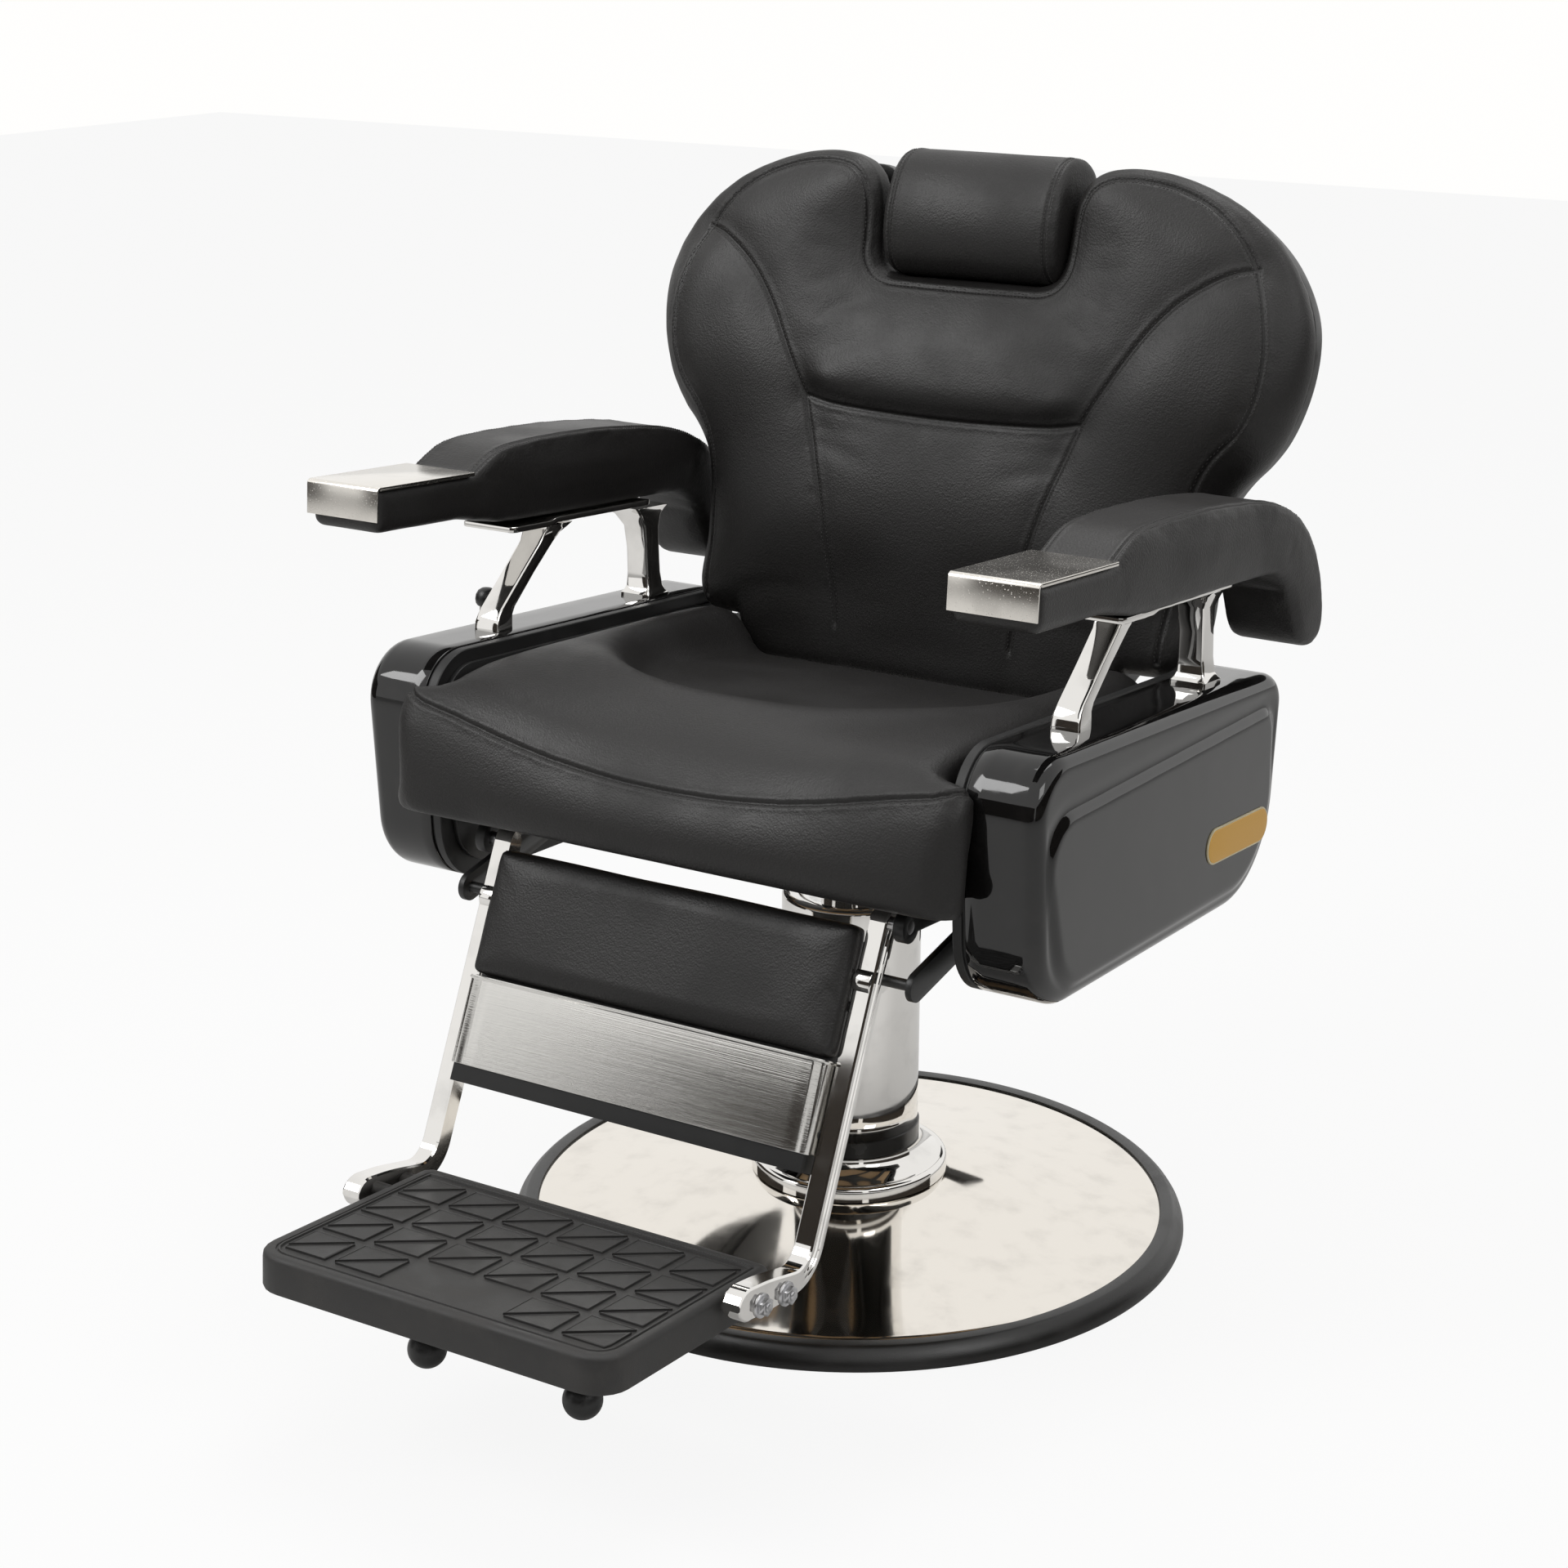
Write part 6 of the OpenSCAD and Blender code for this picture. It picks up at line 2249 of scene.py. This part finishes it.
@dataclass
class Footplate:
    """The rubber footplate: a cast body with raised pads, its bolts, rods and balls."""

    half_w: float = 0.182
    front: float = -0.648
    rear: float = -0.410
    top: float = -0.268
    thick: float = 0.034
    front_r: float = 0.030
    rear_r: float = 0.010
    rim_round: float = 5.5 * MM
    field_drop: float = 1.9 * MM
    border: float = 0.0135
    pitch_x: float = 0.0575
    pitch_y: float = 0.0500
    channel: float = 0.0080
    cut: float = 0.0042
    bolts: Profile = ((-0.466, -0.278), (-0.428, -0.281))
    bolt_steps: tuple[tuple[float, float, float, float, int], ...] = (
        (0, 1.6, 0.0105, 0.0105, 40), (1.6, 2.0, 0.0105, 0.0100, 40),
        (2.0, 6.6, 0.0083, 0.0083, 6), (6.6, 7.2, 0.0083, 0.0070, 6),
        (7.2, 8.6, 0.0041, 0.0041, 24), (8.6, 9.0, 0.0041, 0.0034, 24))
    arm_outside: float = 0.206
    ball_x: float = 0.081
    ball_y: float = -0.536
    ball_z: float = -0.370
    ball_r: float = 0.017
    rod_r: float = 0.005
    thread_depth: float = 0.65 * MM
    thread_pitch: float = 1.6 * MM

    def build(self, shop: Workshop) -> None:
        """Builds and dresses the footplate and all that is fixed to it."""
        finishes = shop.finishes
        shop.make(self._body(), "footplate_rubber", finishes.tread, "footrest", ["footplate"],
                  SEAT, sharp=40.0)
        shop.make(self._pads(), "footplate_tread_pads", finishes.pads, "footrest", [], SEAT,
                  sharp=40.0)
        shop.make(self._bolts(), "footplate_bolt_heads", finishes.steel, "footrest",
                  ["footplate_bolts"], SEAT, sharp=25.0)
        shop.make(self._rods(), "threaded_rods", finishes.chrome, "footrest", ["foot_rods"],
                  SEAT, sharp=60.0)
        shop.make(self._balls(), "ball_feet", finishes.ball, "footrest", ["foot_balls"], SEAT)

    def _outline(self, inset: float, step: float) -> list[Vector]:
        """The plate's outline, counter-clockwise in (x, y), moved inwards."""
        x, near, far = self.half_w, self.front, self.rear
        circles = [(-x + self.front_r, near + self.front_r, self.front_r),
                   (x - self.front_r, near + self.front_r, self.front_r),
                   (x - self.rear_r, far - self.rear_r, self.rear_r),
                   (-x + self.rear_r, far - self.rear_r, self.rear_r)]
        middle = (near + far) / 2
        held = [(u, v, max(0.5 * MM, r - inset)) if r > inset else
                (u - math.copysign(inset - r, u), v - math.copysign(inset - r, v - middle),
                 0.5 * MM) for u, v, r in circles]
        return hull_of(held, step)

    def _body(self) -> Form:
        """The cast body, with a rounded rim, a fine border rib and a hollow underside."""
        top, low = self.top - 0.3 * MM, self.top - self.thick
        stations = [(0.016, low + 0.018), (0.014, low + 0.016), (0.0130, low + 0.4 * MM),
                    (0.0120, low), (0.0030, low), (0.0008, low + 0.9 * MM), (0.0, low + 3 * MM),
                    (0.0, top - 6 * MM)]
        r = self.rim_round
        stations += [(r * a, top - r * b) for a, b in quarter(6, 1)]
        rib = self.border
        stations += [(rib - 4 * MM, top - 0.2 * MM), (rib - 3.2 * MM, top - 0.3 * MM),
                     (rib - 2.6 * MM, top - 1.5 * MM), (rib - 1.5 * MM, top - 1.5 * MM),
                     (rib - 0.9 * MM, top), (rib + 0.5 * MM, top), (rib + 1.1 * MM, top - 1.6 * MM),
                     (rib + 2.0 * MM, top - self.field_drop + 0.3 * MM)]
        rings = []
        count = 150
        for inset, z in stations:
            line = self._outline(inset, 4 * MM)
            ring = even_ring(line, length_of(line, True) / count)
            rings.append([Vector((p.x, p.y, z)) for p in ring[:count]])
        return self._with_bosses(Form().loft(rings).welded())

    def _with_bosses(self, form: Form) -> Form:
        """Adds the round bosses that the arms are bolted to."""
        for way in (-1, 1):
            for y, z in self.bolts:
                form.rod((way * (self.half_w - 2 * MM), y, z), (way * self.arm_inner_face, y, z),
                         0.009, 32)
        return form.welded()

    @property
    def arm_inner_face(self) -> float:
        """Where the footrest arms' inner faces are across the chair."""
        return self.arm_outside - 0.018

    def _pads(self) -> Form:
        """The raised pads: squares cut by diagonals, trimmed by the border."""
        limit = self._outline(self.border + 4.6 * MM, 5 * MM)
        form = Form()
        columns = round((self.half_w * 2 - 2 * self.border) / self.pitch_x)
        rows = 4
        left = -columns * self.pitch_x / 2
        low = self.rear - self.border - 5 * MM - rows * self.pitch_y
        for i in range(-1, columns + 1):
            for j in range(-1, rows + 1):
                x0 = left + i * self.pitch_x + self.channel / 2
                x1 = left + (i + 1) * self.pitch_x - self.channel / 2
                y0 = low + j * self.pitch_y + self.channel / 2
                y1 = low + (j + 1) * self.pitch_y - self.channel / 2
                self._cell(form, limit, (x0, y0, x1, y1))
        return form.welded()

    def _cell(self, form: Form, limit: Sequence[Vector],
              bounds: tuple[float, float, float, float]) -> None:
        """Adds the two triangular pads of one cell."""
        x0, y0, x1, y1 = bounds
        a, b, c, d = (Vector((x, y, 0)) for x, y in ((x0, y0), (x1, y0), (x1, y1), (x0, y1)))
        gap = self.cut * 0.7
        first = [a + Vector((gap, 0, 0)), b, c - Vector((0, gap, 0))]
        second = [a + Vector((0, gap, 0)), c - Vector((gap, 0, 0)), d]
        for triangle in (first, second):
            trimmed = clipped(triangle, limit)
            if len(trimmed) < 3 or self._bare(trimmed):
                continue
            self._pad(form, trimmed)

    def _bare(self, polygon: Sequence[Vector]) -> bool:
        """Whether a pad would lie on the smooth patch at the middle of the front."""
        middle = sum(polygon, Vector()) / len(polygon)
        span = middle - Vector((0, self.front + 0.012, 0))
        return (span.x / 0.072) ** 2 + (span.y / 0.050) ** 2 < 1

    def _pad(self, form: Form, polygon: Sequence[Vector]) -> None:
        """Adds one raised pad with a crisp rim and a slightly sunken middle."""
        middle = sum(polygon, Vector()) / len(polygon)
        size = min((p - middle).length for p in polygon)
        if size < 6 * MM:
            return
        rings = []
        for pull, z in ((0.0, self.top - self.field_drop - 0.6 * MM), (0.2, self.top - 0.35 * MM),
                        (0.6, self.top), (1.5, self.top), (2.0, self.top - 0.45 * MM)):
            share = pull * MM / size
            rings.append([Vector((*p.lerp(middle, share).xy, z)) for p in polygon])
        form.loft(rings)

    def _bolts(self) -> Form:
        """Hexagon nuts on washers, with the bolts' ends in them."""
        form = Form()
        for way in (-1, 1):
            for y, z in self.bolts:
                for start, end, radius, tip, segments in self.bolt_steps:
                    near, far = ((way * (self.arm_outside + x * MM), y, z)
                                 for x in (start, end))
                    form.rod(near, far, radius, segments, tip)
        return form.welded()

    def _rods(self) -> Form:
        """The threaded rods under the plate."""
        low = self.ball_z + self.ball_r - 3 * MM
        high = self.top - 6 * MM
        profile = [(0, low)]
        z, crest = low, True
        while z < high:
            profile.append((self.rod_r if crest else self.rod_r - self.thread_depth, z))
            z, crest = z + self.thread_pitch / 2, not crest
        profile.append((0, high))
        return self._pair(profile, 24)

    def _balls(self) -> Form:
        """The rubber balls, each with a short neck round its rod."""
        profile = [(0, self.ball_z - self.ball_r)]
        for k in range(1, 30):
            angle = -math.pi / 2 + math.pi * 0.90 * k / 29
            profile.append((self.ball_r * math.cos(angle),
                            self.ball_z + self.ball_r * math.sin(angle)))
        top = profile[-1][1]
        profile += [(self.rod_r + 0.6 * MM, top + 0.5 * MM),
                    (self.rod_r + 0.2 * MM, top + 1.2 * MM), (0, top + 1.2 * MM)]
        return self._pair(profile, 56)

    def _pair(self, profile: Sequence[tuple[float, float]], steps: int) -> Form:
        """A spun profile at each of the two ball feet."""
        form = Form().spin(profile, steps, closed=False)
        form.moved(Matrix.Translation((self.ball_x, self.ball_y, 0)))
        return form.copied(Side.RIGHT.mirror).welded()


# ---------- studio ----------


@dataclass(frozen=True)
class Lamp:
    """A square softbox: where it hangs, what it is aimed at, its size and its power."""

    name: str
    place: Triple
    aim: Triple
    size: float
    power: float


@dataclass(frozen=True)
class Flag:
    """A dark cloth that stands on the floor from one place to another."""

    name: str
    start: tuple[float, float]
    end: tuple[float, float]
    height: float


@dataclass
class Studio:
    """The camera, the lamps, the pale floor and the white surroundings."""

    place: Triple = (1.386, -2.339, 1.301)
    azimuth: float = 32.03
    elevation: float = 17.48
    roll: float = 0.23
    lens: float = 69.0
    sensor: float = 36.0
    lamps: tuple[Lamp, ...] = (
        Lamp("key", (-1.9, -2.3, 3.0), (0, 0, 0.6), 1.6, 58),
        Lamp("fill", (2.9, -1.0, 2.4), (0, 0, 0.6), 1.2, 16),
        Lamp("top", (0.2, 0.6, 3.4), (0, 0, 0.5), 1.8, 34))
    flags: tuple[Flag, ...] = (
        Flag("flag_behind_camera", (-2.6, -4.4), (4.6, -4.4), 2.1),
        Flag("flag_right", (4.0, -3.0), (4.0, 4.2), 1.7),
        Flag("flag_left", (-3.8, -3.4), (-3.8, 0.6), 1.9))
    floor_half: float = 9.0
    surround: float = 0.34
    floor_shown: float = 0.90
    floor_mirrored: float = 0.12

    def build(self) -> None:
        """Makes the camera, the lamps, the floor, the flags and the world."""
        self._camera()
        for lamp in self.lamps:
            self._lamp(lamp)
        self._floor()
        for flag in self.flags:
            self._flag(flag)
        self._world()

    def _camera(self) -> None:
        """Places the camera."""
        a, e, t = (math.radians(v) for v in (self.azimuth, self.elevation, self.roll))
        ahead = Vector((-math.sin(a) * math.cos(e), math.cos(a) * math.cos(e), -math.sin(e)))
        right = Vector((math.cos(a), math.sin(a), 0))
        up = right.cross(ahead)
        across = right * math.cos(t) + up * math.sin(t)
        upward = up * math.cos(t) - right * math.sin(t)
        data = bpy.data.cameras.new("camera")
        data.lens, data.sensor_width = self.lens, self.sensor
        camera = bpy.data.objects.new("camera", data)
        turn = Matrix((across, upward, -ahead)).transposed().to_4x4()
        camera.matrix_world = Matrix.Translation(self.place) @ turn
        bpy.context.scene.collection.objects.link(camera)
        bpy.context.scene.camera = camera

    @staticmethod
    def _lamp(lamp: Lamp) -> None:
        """Adds a lamp and aims it."""
        data = bpy.data.lights.new(lamp.name, "AREA")
        data.size, data.energy = lamp.size, lamp.power
        hung = bpy.data.objects.new(lamp.name, data)
        hung.location = lamp.place
        ray = Vector(lamp.aim) - Vector(lamp.place)
        hung.rotation_euler = ray.to_track_quat("-Z", "Y").to_euler()
        bpy.context.scene.collection.objects.link(hung)

    @staticmethod
    def _sheet(name: str, corners: Sequence[Sequence[float]]) -> Piece:
        """A flat piece with four corners."""
        form = Form()
        form.ring([Vector(corner) for corner in corners])
        bmesh.ops.contextual_create(form.bm, geom=form.bm.edges[:])
        return form.object(name)

    def _flag(self, flag: Flag) -> None:
        """Puts up a flag out of view, for the plating to reflect."""
        cloth = self._sheet(flag.name, ((*flag.start, 0.0), (*flag.end, 0.0),
                                        (*flag.end, flag.height), (*flag.start, flag.height)))
        cloth.visible_camera = False
        shader = Shader(flag.name)
        folds = shader.noise(1.6, 2.0)
        shader.set(Base_Color=shader.mix(folds, (0.020, 0.017, 0.014), (0.075, 0.060, 0.048)),
                   Roughness=0.9)
        cloth.data.materials.append(shader.material)

    def _floor(self) -> None:
        """The floor, which looks white to the camera and in reflections."""
        half = self.floor_half
        floor = self._sheet("studio_floor", ((-half, -half, 0), (half, -half, 0),
                                             (half, half, 0), (-half, half, 0)))
        shader = Shader("studio_floor")
        soft = shader.noise(3.0, 2.0)
        shader.set(Base_Color=shader.mix(soft, (0.86, 0.855, 0.845), (0.88, 0.875, 0.865)),
                   Roughness=0.75)
        glow = shader.node("ShaderNodeEmission", {}, {"Color": (1.0, 1.0, 1.0), "Strength": 1.0})
        to_camera = shader.node("ShaderNodeLightPath", {}, {}, "Is Camera Ray")
        share = shader.seen() * self.floor_mirrored + to_camera * (
            self.floor_shown - self.floor_mirrored)
        mixed = shader.node("ShaderNodeMixShader", {}, {0: share, 2: glow})
        shader.tree.links.new(shader.surface.outputs[0], mixed.socket.node.inputs[1])
        output = next(n for n in shader.tree.nodes if n.type == "OUTPUT_MATERIAL")
        shader.feed(output.inputs["Surface"], mixed)
        floor.data.materials.append(shader.material)

    def _world(self) -> None:
        """White surroundings, which light the chair less than they show."""
        world = bpy.data.worlds.new("studio")
        world.use_nodes = True
        bpy.context.scene.world = world
        nodes = Nodes(world.node_tree)
        background = nodes.tree.nodes["Background"]
        strength = nodes.seen() * (1 - self.surround) + self.surround
        nodes.feed(background.inputs["Strength"], strength)
        nodes.feed(background.inputs["Color"], (1.0, 0.995, 0.985))


def main() -> None:
    """Builds the chair around its frame and reports it."""
    logging.basicConfig(level=logging.INFO, format="%(name)s: %(message)s")
    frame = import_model()
    shop = Workshop(frame)
    scene = bpy.context.scene
    scene.view_settings.view_transform = "Standard"
    Studio().build()
    assemblies = (BaseAndColumn(), Ram(), PumpLever(), SeatFrame(), SeatCushion(), SideCovers(),
                  Armrests(), ReclineLever(), Backrest(), Headrest(), Footrest())
    for assembly in assemblies:
        assembly.build(shop)
        LOG.info("%s done", type(assembly).__name__)


if __name__ == "__main__":
    main()
